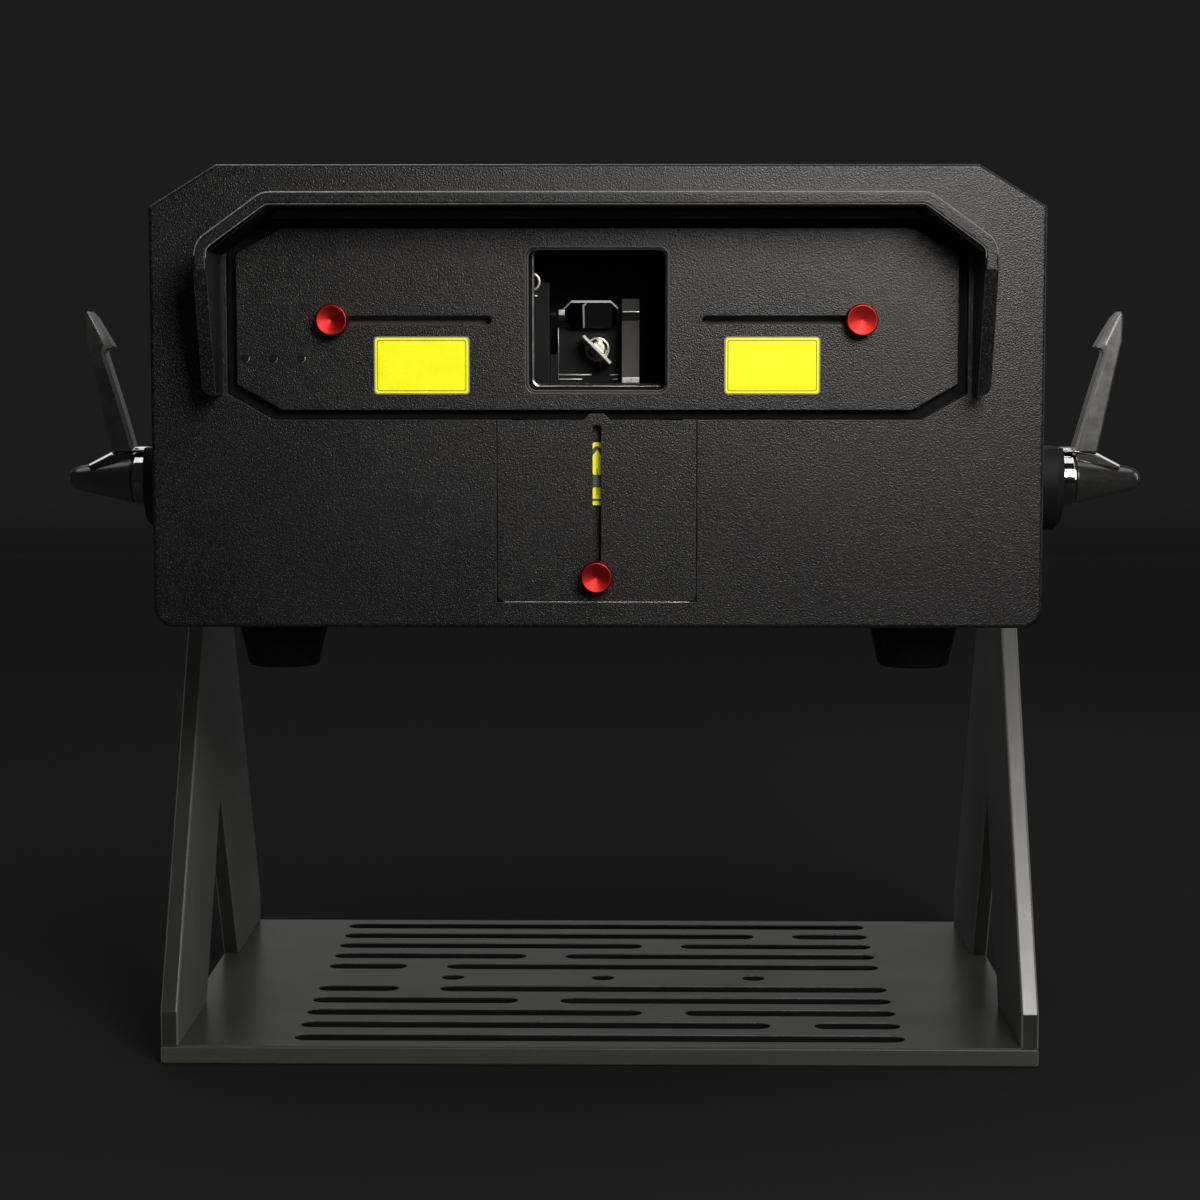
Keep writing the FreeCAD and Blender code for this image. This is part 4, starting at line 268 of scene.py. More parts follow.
def film_material(name, dark, light):
    """Yellow film with a slightly deeper rim, a faint mottle and slight gloss."""
    mat, tree, shader = start_material(name, dark, 0.4, gloss=0.2)
    normal, mask = soft_edges(tree, 0.0005)
    cloud = spread(tree, noise(tree, 120.0, 3.0), 0.0, 1.0)
    face = blend_colors(tree, cloud, dark, light)
    tree.links.new(blend_colors(tree, mask, face, shade(dark, 0.7)), shader.inputs["Base Color"])
    tree.links.new(spread(tree, noise(tree, 900.0), 0.36, 0.48), shader.inputs["Roughness"])
    tree.links.new(bump(tree, noise(tree, 1800.0), 0.2, 0.00002, normal), shader.inputs["Normal"])
    return mat


def leg_material():
    """Satin coat, dull and lighter on the broad faces as painted light, smooth on the cut edges."""
    mat, tree, shader = start_material("leg_satin_coat", (0.017, 0.019, 0.0155), 0.5, gloss=0.6)
    normal, mask = soft_edges(tree, 0.0008)
    coords = add_node(tree, "ShaderNodeTexCoord")
    parts = add_node(tree, "ShaderNodeSeparateXYZ")
    tree.links.new(coords.outputs["Normal"], parts.inputs["Vector"])
    broad = spread(tree, maths(tree, "ABSOLUTE", parts.outputs["X"]), 0.0, 1.0, 0.2, 0.8)
    cloud = spread(tree, noise(tree, 30.0, 3.0), 0.0, 1.0)
    cut = blend_colors(tree, cloud, (0.012, 0.0142, 0.0115), (0.018, 0.0202, 0.0168))
    # Broad faces far lighter than the cut edges: painted light.
    broad_painted_light = blend_colors(tree, cloud, (0.062, 0.068, 0.059), (0.080, 0.086, 0.075))
    face = blend_colors(tree, broad, cut, broad_painted_light)
    worn_and_highlit = maths(tree, "MULTIPLY", mask, spread(tree, noise(tree, 60.0, 3.0), 0.2, 0.6))
    tree.links.new(blend_colors(tree, worn_and_highlit, face, (0.15, 0.145, 0.135)), shader.inputs["Base Color"])
    dulled = maths(tree, "MULTIPLY_ADD", noise(tree, 70.0, 3.0), 0.12, 0.23)
    tree.links.new(maths(tree, "MULTIPLY_ADD", broad, 0.34, dulled), shader.inputs["Roughness"])
    tree.links.new(bump(tree, noise(tree, 2400.0), 0.3, 0.00002, normal), shader.inputs["Normal"])
    return mat


def glass_material():
    mat, tree, shader = start_material("coated_glass", (0.004, 0.005, 0.005), 0.03, gloss=0.05)
    shader.inputs["Alpha"].default_value = 0.05
    tree.links.new(spread(tree, noise(tree, 25.0, 3.0), 0.02, 0.06), shader.inputs["Roughness"])
    return mat


def lens_material():
    mat, tree, shader = start_material("smoked_lens", grey(0.006), 0.3, gloss=0.15)
    mottle = blend_colors(tree, noise(tree, 400.0), grey(0.004), grey(0.009))
    tree.links.new(mottle, shader.inputs["Base Color"])
    return mat


def post_material():
    """Grey anodised post, paler towards its foot as painted light."""
    mat, tree, shader = start_material("grey_post", grey(0.1), 0.4, gloss=0.2)
    foot, top = 0.297, 0.327
    parts = add_node(tree, "ShaderNodeSeparateXYZ")
    tree.links.new(object_coords(tree), parts.inputs["Vector"])
    # Painted light: dark at the top, pale at the foot.
    height = spread(tree, parts.outputs["Z"], 1.0, 0.0, foot, top)
    grain = maths(tree, "MULTIPLY_ADD", noise(tree, 700.0), 0.2, height)
    color = blend_colors(tree, grain, grey(0.010), (0.065, 0.063, 0.060))
    tree.links.new(color, shader.inputs["Base Color"])
    tree.links.new(spread(tree, noise(tree, 300.0), 0.34, 0.48), shader.inputs["Roughness"])
    return mat


# Coats and plastics: name, dark tone, light tone, edge tone (wear and painted highlight), roughness, grain
# and its depth

BLACK_COAT = coated("black_powder_coat", (0.0014, 0.0014, 0.0020), (0.019, 0.0187, 0.0183), grey(0.05),
                    (0.32, 0.35), 2100.0, 0.0002, radius=0.0005, gloss=0.32)
# Hood coat: its bright edge tone is a painted highlight on the visor's rims.
HOOD_COAT = coated("hood_powder_coat", (0.0014, 0.0014, 0.0020), (0.027, 0.0266, 0.0260),
                   (0.14, 0.138, 0.135), (0.32, 0.35), 2100.0, 0.00016, radius=0.0004, gloss=0.27)
YOKE_COAT = coated("yoke_satin_coat", (0.032, 0.0335, 0.029), (0.045, 0.046, 0.040), (0.26, 0.255, 0.24),
                   (0.27, 0.31), 2400.0, 0.00002, wear_and_highlight=0.6, gloss=0.15)
NYLON = coated("black_nylon", (0.004, 0.004, 0.0045), (0.008, 0.008, 0.0085), grey(0.03),
               (0.5, 0.6), 1500.0, 0.00006, gloss=0.15)
GLOSS_BLACK = coated("gloss_black_moulding", (0.0018, 0.0018, 0.0020), (0.0032, 0.0032, 0.0036), grey(0.03),
                     (0.08, 0.11), 1200.0, 0.000003, gloss=0.06)
FAN_PLASTIC = coated("fan_plastic", (0.018, 0.018, 0.020), (0.028, 0.028, 0.030), grey(0.06),
                     (0.4, 0.5), 1300.0, 0.00005, gloss=0.4)
MATT_BLACK = coated("matt_black", (0.004, 0.004, 0.0045), (0.008, 0.008, 0.0085), grey(0.016),
                    (0.6, 0.7), 1500.0, 0.00004, gloss=0.06)
DARK_ANODISED = coated("dark_anodised", (0.0055, 0.0055, 0.0065), (0.0100, 0.0100, 0.0108), grey(0.10),
                       (0.38, 0.46), 2600.0, 0.00002, radius=0.0004, wear_and_highlight=0.7, gloss=0.12)
# Shutter blade coat, much lighter than the black coat: painted light in the shaded slots, also used on the
# window rim and the arrow strip's film.
BLADE_PAINTED_LIGHT = coated("shutter_blade_painted_light_coat", (0.060, 0.060, 0.061), (0.10, 0.098, 0.096), grey(0.16),
               (0.36, 0.42), 1900.0, 0.00006, gloss=0.4)
BOARD = coated("solder_mask", (0.008, 0.06, 0.025), (0.014, 0.10, 0.045), (0.05, 0.12, 0.07),
               (0.3, 0.42), 900.0, 0.00004)
HATCH = coated("grey_film", (0.05, 0.055, 0.05), (0.16, 0.16, 0.15), grey(0.1),
               (0.4, 0.5), 3000.0, 0.00003)
GROUND_EDGE = coated("ground_glass_edge", (0.62, 0.62, 0.61), (0.74, 0.74, 0.73), grey(0.84),
                     (0.4, 0.5), 2600.0, 0.00002)
BORDER = coated("label_border", (0.06, 0.058, 0.008), (0.08, 0.078, 0.010), (0.08, 0.08, 0.01),
                (0.35, 0.45), 2600.0, 0.00002)
PLATE_RIM = coated("label_plate_rim", (0.22, 0.216, 0.13), (0.28, 0.275, 0.17), (0.36, 0.36, 0.25),
                   (0.35, 0.45), 2600.0, 0.00002, gloss=0.2)
BARE_EDGE = coated("bare_lever_edge", (0.13, 0.132, 0.13), grey(0.165), grey(0.2),
                   (0.30, 0.36), 2600.0, 0.000004, wear_and_highlight=0.3)
# Bright tone for the lines on the visor's front edges: painted highlight.
HOOD_EDGE_HIGHLIGHT = coated("painted_hood_edge_highlight", grey(0.08), (0.32, 0.315, 0.305), grey(0.3),
                   (0.35, 0.45), 1800.0, 0.00004, gloss=0.2)
# Lighter coat for the bead round the opening: painted highlight.
PANEL_EDGE_HIGHLIGHT = coated("panel_edge_highlight", grey(0.045), grey(0.065), grey(0.12),
                    (0.25, 0.32), 2600.0, 0.00001, gloss=0.4)

# Metals: name, colour, roughness, direction of the lines, their scale and depth

EVEN = (1.0, 1.0, 1.0)
CHROME = machined("chrome", (0.70, 0.71, 0.72), (0.05, 0.12), (1.0, 0.05, 0.05), 1600.0, 0.000008)
LEVER = machined("lever_casting", (0.135, 0.138, 0.132), (0.26, 0.34), (0.3, 1.0, 0.3), 700.0, 0.00001,
                 metallic=0.75)
LIP = machined("polished_lip", (0.60, 0.60, 0.60), (0.10, 0.16), (1.0, 0.2, 1.0), 900.0, 0.00001)
BULLET = machined("black_chrome", (0.110, 0.110, 0.108), (0.20, 0.28), (0.2, 1.0, 1.0), 900.0, 0.000006,
                  metallic=0.85)
ZINC = machined("zinc_steel", (0.46, 0.46, 0.45), (0.25, 0.4), EVEN, 500.0)
# Raw aluminium, used for bright lines and edges that are painted highlights.
RAW_METAL_HIGHLIGHT = machined("raw_aluminium_highlight", (0.85, 0.84, 0.81), (0.24, 0.36), (0.1, 1.0, 0.1))
MODULE_METAL = machined("module_metal", (0.52, 0.52, 0.53), (0.3, 0.42), (1.0, 0.05, 1.0))
GALVANISED = machined("galvanised_sheet", (0.55, 0.55, 0.54), (0.35, 0.5), EVEN, 120.0)
GUARD_STEEL = machined("guard_steel", (0.30, 0.30, 0.30), (0.2, 0.32), EVEN, 800.0, 0.00001)
KEY_METAL = machined("key_nickel", (0.66, 0.63, 0.56), (0.18, 0.3), (1.0, 0.1, 1.0), 700.0)
DARK_MIRROR = machined("dark_mirror", (0.018, 0.019, 0.021), (0.03, 0.06), EVEN, 300.0, 0.000002)
MIRROR = machined("mirror_silver", (0.86, 0.87, 0.88), (0.02, 0.05), EVEN, 300.0, 0.000002)
WARM_SILVER = machined("warm_silver", (0.85, 0.79, 0.65), (0.24, 0.34), EVEN, 900.0, 0.00003)

# Films, legs, glass, lenses and the post

YELLOW = film_material("yellow_film", (0.72, 0.71, 0.004), (0.79, 0.78, 0.006))
# Arrow-strip film, lighter than the label film: painted light for the strip in the shaded slot.
STRIP_YELLOW_PAINTED_LIGHT = film_material("yellow_strip_film_painted_light", (0.86, 0.83, 0.02), (0.95, 0.92, 0.03))
LEG_COAT = leg_material()
GLASS = glass_material()
LENS = lens_material()
POST = post_material()


def dress(material, *names):
    """Give CAD nodes a material in place of their own."""
    for name in names:
        for slot in nodes[name].material_slots:
            slot.material = material


dress(BLACK_COAT, "front_bezel", "aperture_panel", "shutter_cover", "bottom_plate", "left_side_panel",
      "right_side_panel", "top_cover", "rear_panel", "lower_shutter")
dress(HOOD_COAT, "visor_hood")
dress(YOKE_COAT, "base_plate")
dress(LEG_COAT, "left_leg", "right_leg")
dress(NYLON, "pivot_spacers", "friction_washers")
dress(GLOSS_BLACK, "feet", "power_rocker")
dress(CHROME, "left_lever_stud", "right_lever_stud", "key_switch")
dress(ZINC, "leg_screws", "rear_screws", "foot_screws", "bench_posts", "ilda_socket", "safety_eyelet")
dress(BLADE_PAINTED_LIGHT, "left_shutter", "right_shutter")
dress(MATT_BLACK, "shutter_guide")
dress(DARK_ANODISED, "scanner_block", "galvo_motors", "heat_sink", "optical_bench")
dress(POST, "beam_port")
dress(MODULE_METAL, "red_laser_module", "green_laser_module", "blue_laser_module")
dress(GALVANISED, "power_supply")
dress(BOARD, "control_board", "driver_board")
dress(FAN_PLASTIC, "fan_frames", "left_fan_rotor", "right_fan_rotor", "power_inlet", "data_sockets")
dress(GUARD_STEEL, "fan_guards")
dress(KEY_METAL, "switch_key")
dress(MIRROR, "combining_mirrors")
dress(GLASS, "aperture_glass")
dress(LENS, "indicator_leds")


# Mesh helpers: an axis gives the directions of (u, v) and of the third coordinate w

AXES = {
    "x": (Vector((0, 1, 0)), Vector((0, 0, 1)), Vector((1, 0, 0))),
    "y": (Vector((1, 0, 0)), Vector((0, 0, 1)), Vector((0, 1, 0))),
    "z": (Vector((1, 0, 0)), Vector((0, 1, 0)), Vector((0, 0, 1))),
}


def place(axis, u, v, w):
    first, second, third = AXES[axis]
    return (first * u + second * v + third * w) * MM


def add_faces(mesh, rings, slot, closed=True):
    """Quads between neighbouring loops of points."""
    count = len(rings[0])
    for low, high in zip(rings, rings[1:]):
        for i in range(count if closed else count - 1):
            j = (i + 1) % count
            mesh.faces.new((low[i], low[j], high[j], high[i])).material_index = slot


def prism(mesh, axis, outline, low, high, slot=0, side_slot=None):
    """Outline of (u, v) points made solid from level low to level high."""
    ends = [[mesh.verts.new(place(axis, u, v, w)) for u, v in outline] for w in (low, high)]
    for end in ends:
        mesh.faces.new(end).material_index = slot
    add_faces(mesh, ends, slot if side_slot is None else side_slot)


def ring_solid(mesh, axis, sections, slots):
    """Closed ring through a round of (outline, level) sections, with a material for each band."""
    loops = [[mesh.verts.new(place(axis, u, v, w)) for u, v in line] for line, w in sections]
    for i, slot in enumerate(slots):
        add_faces(mesh, [loops[i], loops[(i + 1) % len(loops)]], slot)


def ring_prism(mesh, axis, outer, inner, low, high, slot=0):
    """Plate with a hole: outer and inner outlines have the same number of points."""
    ring_solid(mesh, axis, [(inner, low), (outer, low), (outer, high), (inner, high)], [slot] * 4)


def lathe(mesh, axis, centre, profile, slot=0, steps=40):
    """Profile of (radius, level) points turned about an axis through centre (u, v)."""
    loops = []
    for radius, level in profile:
        loop = [mesh.verts.new(place(axis, u, v, level)) for u, v in circle(radius, centre, steps)]
        loops.append(loop)
    add_faces(mesh, loops, slot)
    mesh.faces.new(loops[0]).material_index = slot
    mesh.faces.new(loops[-1]).material_index = slot


def rounded(half_u, half_v, radius, centre=(0.0, 0.0), steps=6):
    """Rectangle with round corners, as a list of points."""
    points = []
    for sign_u, sign_v, start in ((1, 1, 0), (-1, 1, 90), (-1, -1, 180), (1, -1, 270)):
        for i in range(steps + 1):
            angle = math.radians(start + 90 * i / steps)
            points.append((centre[0] + sign_u * (half_u - radius) + radius * math.cos(angle),
                           centre[1] + sign_v * (half_v - radius) + radius * math.sin(angle)))
    return points


def circle(radius, centre=(0.0, 0.0), steps=32):
    return [(centre[0] + radius * math.cos(2 * math.pi * i / steps),
             centre[1] + radius * math.sin(2 * math.pi * i / steps)) for i in range(steps)]


def arc(radius, centre, start, step, count):
    """Points on a circle from an angle onwards, in degrees."""
    angles = [math.radians(start + step * i) for i in range(count)]
    return [(centre[0] + radius * math.cos(angle),
             centre[1] + radius * math.sin(angle)) for angle in angles]


def make_piece(name, mesh, materials, body, soften=0.0, turn=None):
    """Object from a bmesh, with softened edges, riding on a body."""
    bmesh.ops.recalc_face_normals(mesh, faces=mesh.faces)
    data = bpy.data.meshes.new(name)
    mesh.to_mesh(data)
    mesh.free()
    for face in data.polygons:
        face.use_smooth = True
    data.set_sharp_from_angle(angle=CREASE)
    if turn is not None:
        data.transform(turn)
    for material in materials:
        data.materials.append(material)
    piece = bpy.data.objects.new(name, data)
    bpy.context.scene.collection.objects.link(piece)
    if soften:
        bevel = piece.modifiers.new("soft_edges", "BEVEL")
        bevel.width = soften * MM
        bevel.segments = 2
        bevel.limit_method = "ANGLE"
        bevel.angle_limit = CREASE
    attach(piece, body)
    return piece


# Front: window, baffle, painted shade sheets, visor, labels and lights

def window_trim():
    """Frame behind the opening, with raw metal only on its left and lower edges as a painted highlight, and
    a bead and a rim round it in lighter coats as painted highlights.
    """
    mesh = bmesh.new()
    middle = (1.2, 322.3)
    highlight_left, highlight_right = -23.0, 26.0
    rim = rounded(29.6, 29.6, 1.0, (0.0, APERTURE_Z))
    edge = rounded(27.75, 28.3, 2.9, middle)
    hole = rounded(27.1, 27.65, 2.5, middle)
    front = GUIDE_FRONT + 0.1
    back = front + 2.6
    sections = [(rim, front), (edge, front), (hole, front + 0.45), (hole, back), (rim, back)]
    ring_solid(mesh, "y", sections, [0, 1, 0, 0, 0])
    # Raw metal only on the edges that face the lamps, left and below: painted highlight.
    for face in mesh.faces:
        spot = face.calc_center_median() / MM
        if spot.x > highlight_right or (spot.x > highlight_left and spot.z > middle[1]):
            face.material_index = 0
    # Bead round the opening in a lighter coat: painted highlight.
    middle = (0.0, APERTURE_Z)
    outer = rounded(29.5, 30.0, 4.2, middle)
    crest = rounded(29.1, 29.6, 3.8, middle)
    inner = rounded(28.4, 28.9, 3.2, middle)
    root = PANEL_FRONT + 0.5
    bead = [(outer, PANEL_FRONT - 0.02), (crest, PANEL_FRONT - 0.22), (inner, root), (outer, root)]
    ring_solid(mesh, "y", bead, [3] * 4)
    # Rim behind the panel in the lightened blade coat: painted highlight.
    tip = rounded(27.9, 28.4, 3.0, middle)
    inner_rim = [(inner, PANEL_BACK - 1.2), (tip, PANEL_BACK - 0.8), (inner, PANEL_BACK - 0.1)]
    ring_solid(mesh, "y", inner_rim, [2] * 3)
    piece = make_piece("window_trim", mesh, [MATT_BLACK, RAW_METAL_HIGHLIGHT, BLADE_PAINTED_LIGHT, PANEL_EDGE_HIGHLIGHT], "head")


def scanner_baffle():
    """Folded black sheet behind the scanner."""
    mesh = bmesh.new()
    half, front, back, sheet = 48.0, -74.0, -80.0, 1.0
    outer = [(-half, front), (-half, back), (half, back), (half, front)]
    inner = [(half - sheet, front), (half - sheet, back + sheet), (sheet - half, back + sheet),
             (sheet - half, front)]
    prism(mesh, "z", outer + inner, BENCH_TOP + 0.02, 361.0)
    make_piece("scanner_baffle", mesh, [MATT_BLACK], "head", 0.2)


def octagon(half, low, high, run, rise):
    """Rectangle with cut corners, as a list of points."""
    return [(-half + run, low), (half - run, low), (half, low + rise), (half, high - rise),
            (half - run, high), (-half + run, high), (-half, high - rise), (-half, low + rise)]


def groove_shade_sheet():
    """Black sheet on the floor of the groove round the panel: painted shade."""
    mesh = bmesh.new()
    half, low, high, width = 150.3, 280.9, 361.9, 3.7
    run, rise = 18.5, 10.5
    outer = octagon(half, low, high, run, rise)
    inner = octagon(half - width, low + width, high - width, run, rise)
    ring_prism(mesh, "y", outer, inner, PANEL_BACK - 0.5, PANEL_BACK - 0.02)
    make_piece("groove_shade_sheet", mesh, [MATT_BLACK], "head", 0.15)


def hood_shade_sheet():
    """Thin black sheet under the visor and its sloping corners: painted shade."""
    mesh = bmesh.new()
    upper = [(-151.9, 347.6), (-128.7, 365.6), (128.7, 365.6), (151.9, 347.6)]
    lower = [(151.5, 347.4), (128.5, 365.2), (-128.5, 365.2), (-151.5, 347.4)]
    prism(mesh, "y", upper + lower, HOOD_FRONT + 1.4, PANEL_FRONT - 0.1)
    make_piece("hood_shade_sheet", mesh, [MATT_BLACK], "head", 0.1)


def visor_line(half, foot, shoulder, top_half, top):
    """Corners of a line up one side of the visor, over its top and down the other side."""
    left = [(-half, foot), (-half, shoulder), (-top_half, top)]
    return left + [(-across, up) for across, up in reversed(left)]


def rounded_path(points, radius, steps=5):
    """Open line through the points, its corners rounded."""
    line = [Vector(points[0])]
    for first, corner, last in zip(points, points[1:], points[2:]):
        corner = Vector(corner)
        back = (Vector(first) - corner).normalized()
        ahead = (Vector(last) - corner).normalized()
        half = back.angle(ahead) / 2
        centre = corner + (back + ahead).normalized() * radius / math.sin(half)
        reach = radius / math.tan(half)
        for i in range(steps + 1):
            spot = corner + (back * (steps - i) + ahead * i) * reach / steps
            line.append(centre + (spot - centre).normalized() * radius)
    return line + [Vector(points[-1])]


def hood_edge_highlights():
    """Painted highlights along the rounded front edges of the visor, three-sided in section."""
    mesh = bmesh.new()
    inset = 0.26
    outer = visor_line(157.5, 346.0, 351.5, 130.5, 371.0)
    inner = visor_line(152.3, 345.0, 348.84, 128.82, 365.8)[::-1]
    for points, radius, width in ((outer, 10.0, 0.3), (inner, 4.0, 0.2)):
        line = rounded_path(points, radius)
        strip = [[], [], []]
        for i, spot in enumerate(line):
            ahead = line[min(i + 1, len(line) - 1)] - line[max(i - 1, 0)]
            out = Vector((-ahead.y, ahead.x)).normalized()
            for side, across, depth in zip(strip, (-width, width, -width), (-width, width, width)):
                edge = spot + out * (across - inset)
                side.append(mesh.verts.new(place("y", edge.x, edge.y, HOOD_FRONT + inset + depth)))
        add_faces(mesh, strip + [strip[0]], 0, False)
        for end in (0, -1):
            mesh.faces.new([side[end] for side in strip])
    make_piece("hood_edge_highlights", mesh, [HOOD_EDGE_HIGHLIGHT], "head")


def label_faces():
    """Two bare yellow plates: grey rim, yellow face and a thin plain border."""
    mesh = bmesh.new()
    for across in LABELS:
        middle = (across, LABEL_Z)
        prism(mesh, "y", rounded(19.5, 11.75, 1.5, middle), PANEL_FRONT - 0.45, PANEL_FRONT - 0.01, 0)
        prism(mesh, "y", rounded(18.95, 11.2, 1.2, middle), PANEL_FRONT - 0.58, PANEL_FRONT - 0.4, 1)
        ring_prism(mesh, "y", rounded(18.1, 10.35, 0.9, middle), rounded(17.8, 10.05, 0.8, middle),
                   PANEL_FRONT - 0.6, PANEL_FRONT - 0.5, 2)
    piece = make_piece("label_faces", mesh, [PLATE_RIM, YELLOW, BORDER], "head", 0.06)
    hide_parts("label_plates")


def front_shade_and_highlights():
    """Painted shade as a dark face on each indicator light, a painted highlight as its bright crescent, and
    a painted highlight as the bright edge below the lower cover.
    """
    mesh = bmesh.new()
    radius, shift = 1.72, 0.22
    for across in LIGHTS:
        # Dark face: painted shade; crescent: painted highlight.
        prism(mesh, "y", circle(radius, (across, LIGHTS_Z)), PANEL_FRONT - 0.03, PANEL_FRONT + 0.3, 1)
        crescent = arc(radius, (across, LIGHTS_Z), -80, 12, 9)
        crescent += reversed(arc(radius, (across - shift, LIGHTS_Z + shift), -80, 12, 9))
        prism(mesh, "y", crescent, PANEL_FRONT - 0.1, PANEL_FRONT, 0)
    # Bright strip below the lower cover: painted highlight.
    low, high, half = 206.08, 206.3, 38.0
    strip = [(PANEL_FRONT + 0.02, low), (PANEL_FRONT + 1.2, low), (PANEL_FRONT + 1.2, high),
             (PANEL_FRONT + 0.3, high)]
    prism(mesh, "x", strip, -half, half, 0)
    make_piece("front_shade_and_highlights", mesh, [MODULE_METAL, MATT_BLACK], "head")


window_trim()
scanner_baffle()
groove_shade_sheet()
hood_shade_sheet()
hood_edge_highlights()
label_faces()
front_shade_and_highlights()


# Scanner: mirrors, holder and the details round them

def large_mirror():
    """Long eight-sided mirror at 45 degrees with ground edges, its clamp and clip."""
    mesh = bmesh.new()
    left, right, half = -15.0, 8.3, 7.6
    outline = [(left, -2.6), (left + 3.8, -half), (right - 3.0, -half), (right, -half + 4.0),
               (right, half - 4.0), (right - 3.0, half), (left + 3.8, half), (left, 2.6)]
    prism(mesh, "z", outline, -0.7, 0.7, 0, 1)
    clip = [(-6.5, -half + 0.4), (-5.8, -half + 0.4), (-5.8, half - 2.0), (-4.8, half - 0.7),
            (-4.8, half), (-6.5, half - 1.4)]
    prism(mesh, "z", clip, 0.7, 0.9, 1)
    lift = Matrix.Translation((0.0, LARGE_MIRROR[0] * MM, LARGE_MIRROR[1] * MM))
    turn = lift @ Matrix.Rotation(math.radians(135), 4, "X")
    piece = make_piece("large_mirror", mesh, [DARK_MIRROR, GROUND_EDGE], "y_scan", 0.1, turn)
    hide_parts("y_mirror")
    clamp = bmesh.new()
    deep, high = LARGE_MIRROR
    lathe(clamp, "x", LARGE_MIRROR, [(1.6, -20.0), (1.6, -16.9)], 0)
    prism(clamp, "x", rounded(2.4, 2.3, 0.4, (deep - 0.4, high - 0.3), 3), -16.9, -13.8, 0)
    prism(clamp, "y", rounded(1.35, 1.25, 0.2, (-15.35, high + 0.75), 3), deep - 3.2, deep - 2.7, 1)
    make_piece("large_mirror_clamp", clamp, [DARK_ANODISED, RAW_METAL_HIGHLIGHT], "y_scan", 0.15)


def small_mirror():
    """Turned holder with a recessed bright face, and the small mirror set across it."""
    mesh = bmesh.new()
    front = -133.4
    holder = [(5.4, BLOCK_FRONT), (5.4, front + 0.6), (5.0, front), (4.4, front), (4.2, front + 0.9),
              (3.5, front + 0.9), (3.3, front + 0.1), (2.9, front - 0.2)]
    lathe(mesh, "y", SMALL_MIRROR, holder, 0)
    for start in (0, 95, 190):
        slit = arc(4.15, SMALL_MIRROR, start, 8, 8) + arc(3.5, SMALL_MIRROR, start, 8, 8)[::-1]
        prism(mesh, "y", slit, front + 0.2, front + 1.0, 1)
    lathe(mesh, "y", SMALL_MIRROR, [(1.6, BLOCK_FRONT), (1.6, BLOCK_FRONT + 16.0)], 0)
    length, half, tip = 8.1, 0.52, -150.0
    along = Vector((1.0, -1.0)).normalized()
    side = Vector((1.0, 1.0)).normalized()
    centre = Vector(SMALL_MIRROR)
    steps = ((-length, -half), (length, -half), (length, half), (-length, half))
    corners = [tuple(centre + along * a + side * b) for a, b in steps]
    prism(mesh, "y", corners, tip, front + 0.4, 2)
    piece = make_piece("small_mirror", mesh, [WARM_SILVER, MATT_BLACK, GROUND_EDGE], "x_scan", 0.1)
    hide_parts("x_mirror")


def scanner_details():
    """Bright lines at the block's foot and the post's lip and foot, painted highlights, and the clamp screw
    on the wing.
    """
    mesh = bmesh.new()
    left, right, front = -17.2, 10.7, BLOCK_FRONT
    # Bright lines at the block's foot: painted highlights.
    runs = ((left, -3.0, 298.3), (4.4, right, 298.3), (left, -7.0, 296.4), (5.6, right, 296.4))
    for start, end, level in runs:
        line = [(front - 0.9, level - 0.3), (front, level - 0.3), (front, level + 0.3),
                (front - 0.9, level + 0.2)]
        prism(mesh, "x", line, start, end, 0)
    edge = [(front - 0.4, 297.0), (front, 297.0), (front, 318.0), (front - 0.4, 318.0)]
    prism(mesh, "x", edge, left, left + 0.3, 0)
    start, end, back = 9.9, 17.3, -146.9
    for inset, depth, low, high, slot in ((0.0, 0.7, 324.4, 324.9, 0), (0.0, 0.6, 295.1, 297.5, 1),
                                          (0.05, 0.3, 321.0, 324.4, 2)):
        plate = [(start + inset, back - depth), (end - inset, back - depth), (end - inset, back),
                 (start + inset, back)]
        prism(mesh, "z", plate, low, high, slot)
    ring = (-27.8, 337.0)
    lathe(mesh, "y", ring, [(4.2, -149.0), (4.2, -150.0), (3.9, -150.3), (3.1, -150.3), (2.9, -149.6)], 0)
    prism(mesh, "y", circle(2.95, ring), -149.9, -149.5, 2)
    prism(mesh, "y", rounded(1.9, 0.35, 0.2, (-27.0, 331.2), 3), -150.0, -149.0, 0)
    piece = make_piece("scanner_trim", mesh, [RAW_METAL_HIGHLIGHT, MODULE_METAL, MATT_BLACK], "head", 0.08)


large_mirror()
small_mirror()
scanner_details()


# Knobs: fine straight knurl, chamfers and a turned face

def knob(word, spot):
    mesh = bmesh.new()
    steps, knurl_depth = 160, 0.07
    back, front = PANEL_FRONT - 0.4, PANEL_FRONT - 9.4
    profile = [(5.6, back, 0.0), (6.2, back - 0.5, 0.0), (6.5, back - 0.9, 1.0), (6.5, front + 1.1, 1.0),
               (6.3, front + 0.45, 0.0), (5.95, front, 0.0), (5.6, front, 0.0), (5.4, front + 0.1, 0.0),
               (0.9, front + 0.14, 0.0), (0.5, front + 0.3, 0.0)]
    loops = []
    for radius, level, knurl in profile:
        loop = []
        for i in range(steps):
            angle = 2 * math.pi * i / steps
            reach = radius - (knurl_depth * knurl if i % 2 else 0.0)
            loop.append(mesh.verts.new(place("y", spot[0] + reach * math.cos(angle),
                                             spot[1] + reach * math.sin(angle), level)))
        loops.append(loop)
    add_faces(mesh, loops, 0)
    mesh.faces.new(loops[0])
    mesh.faces.new(loops[-1])
    finish = turned_face("red_anodised_" + word, (0.38, 0.0145, 0.0120), (0.38, 0.46), spot, 0.5 * MM)
    piece = make_piece(word + "_knob_turned", mesh, [finish], word + "_thumb")
    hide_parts(word + "_knob")


for word, spot in KNOBS.items():
    knob(word, spot)


# Clamp levers: black bullet hub, polished lip and an arm with a bevelled inner edge and thumb hook
# Points are (outwards from the hub's start, up from the pivot)

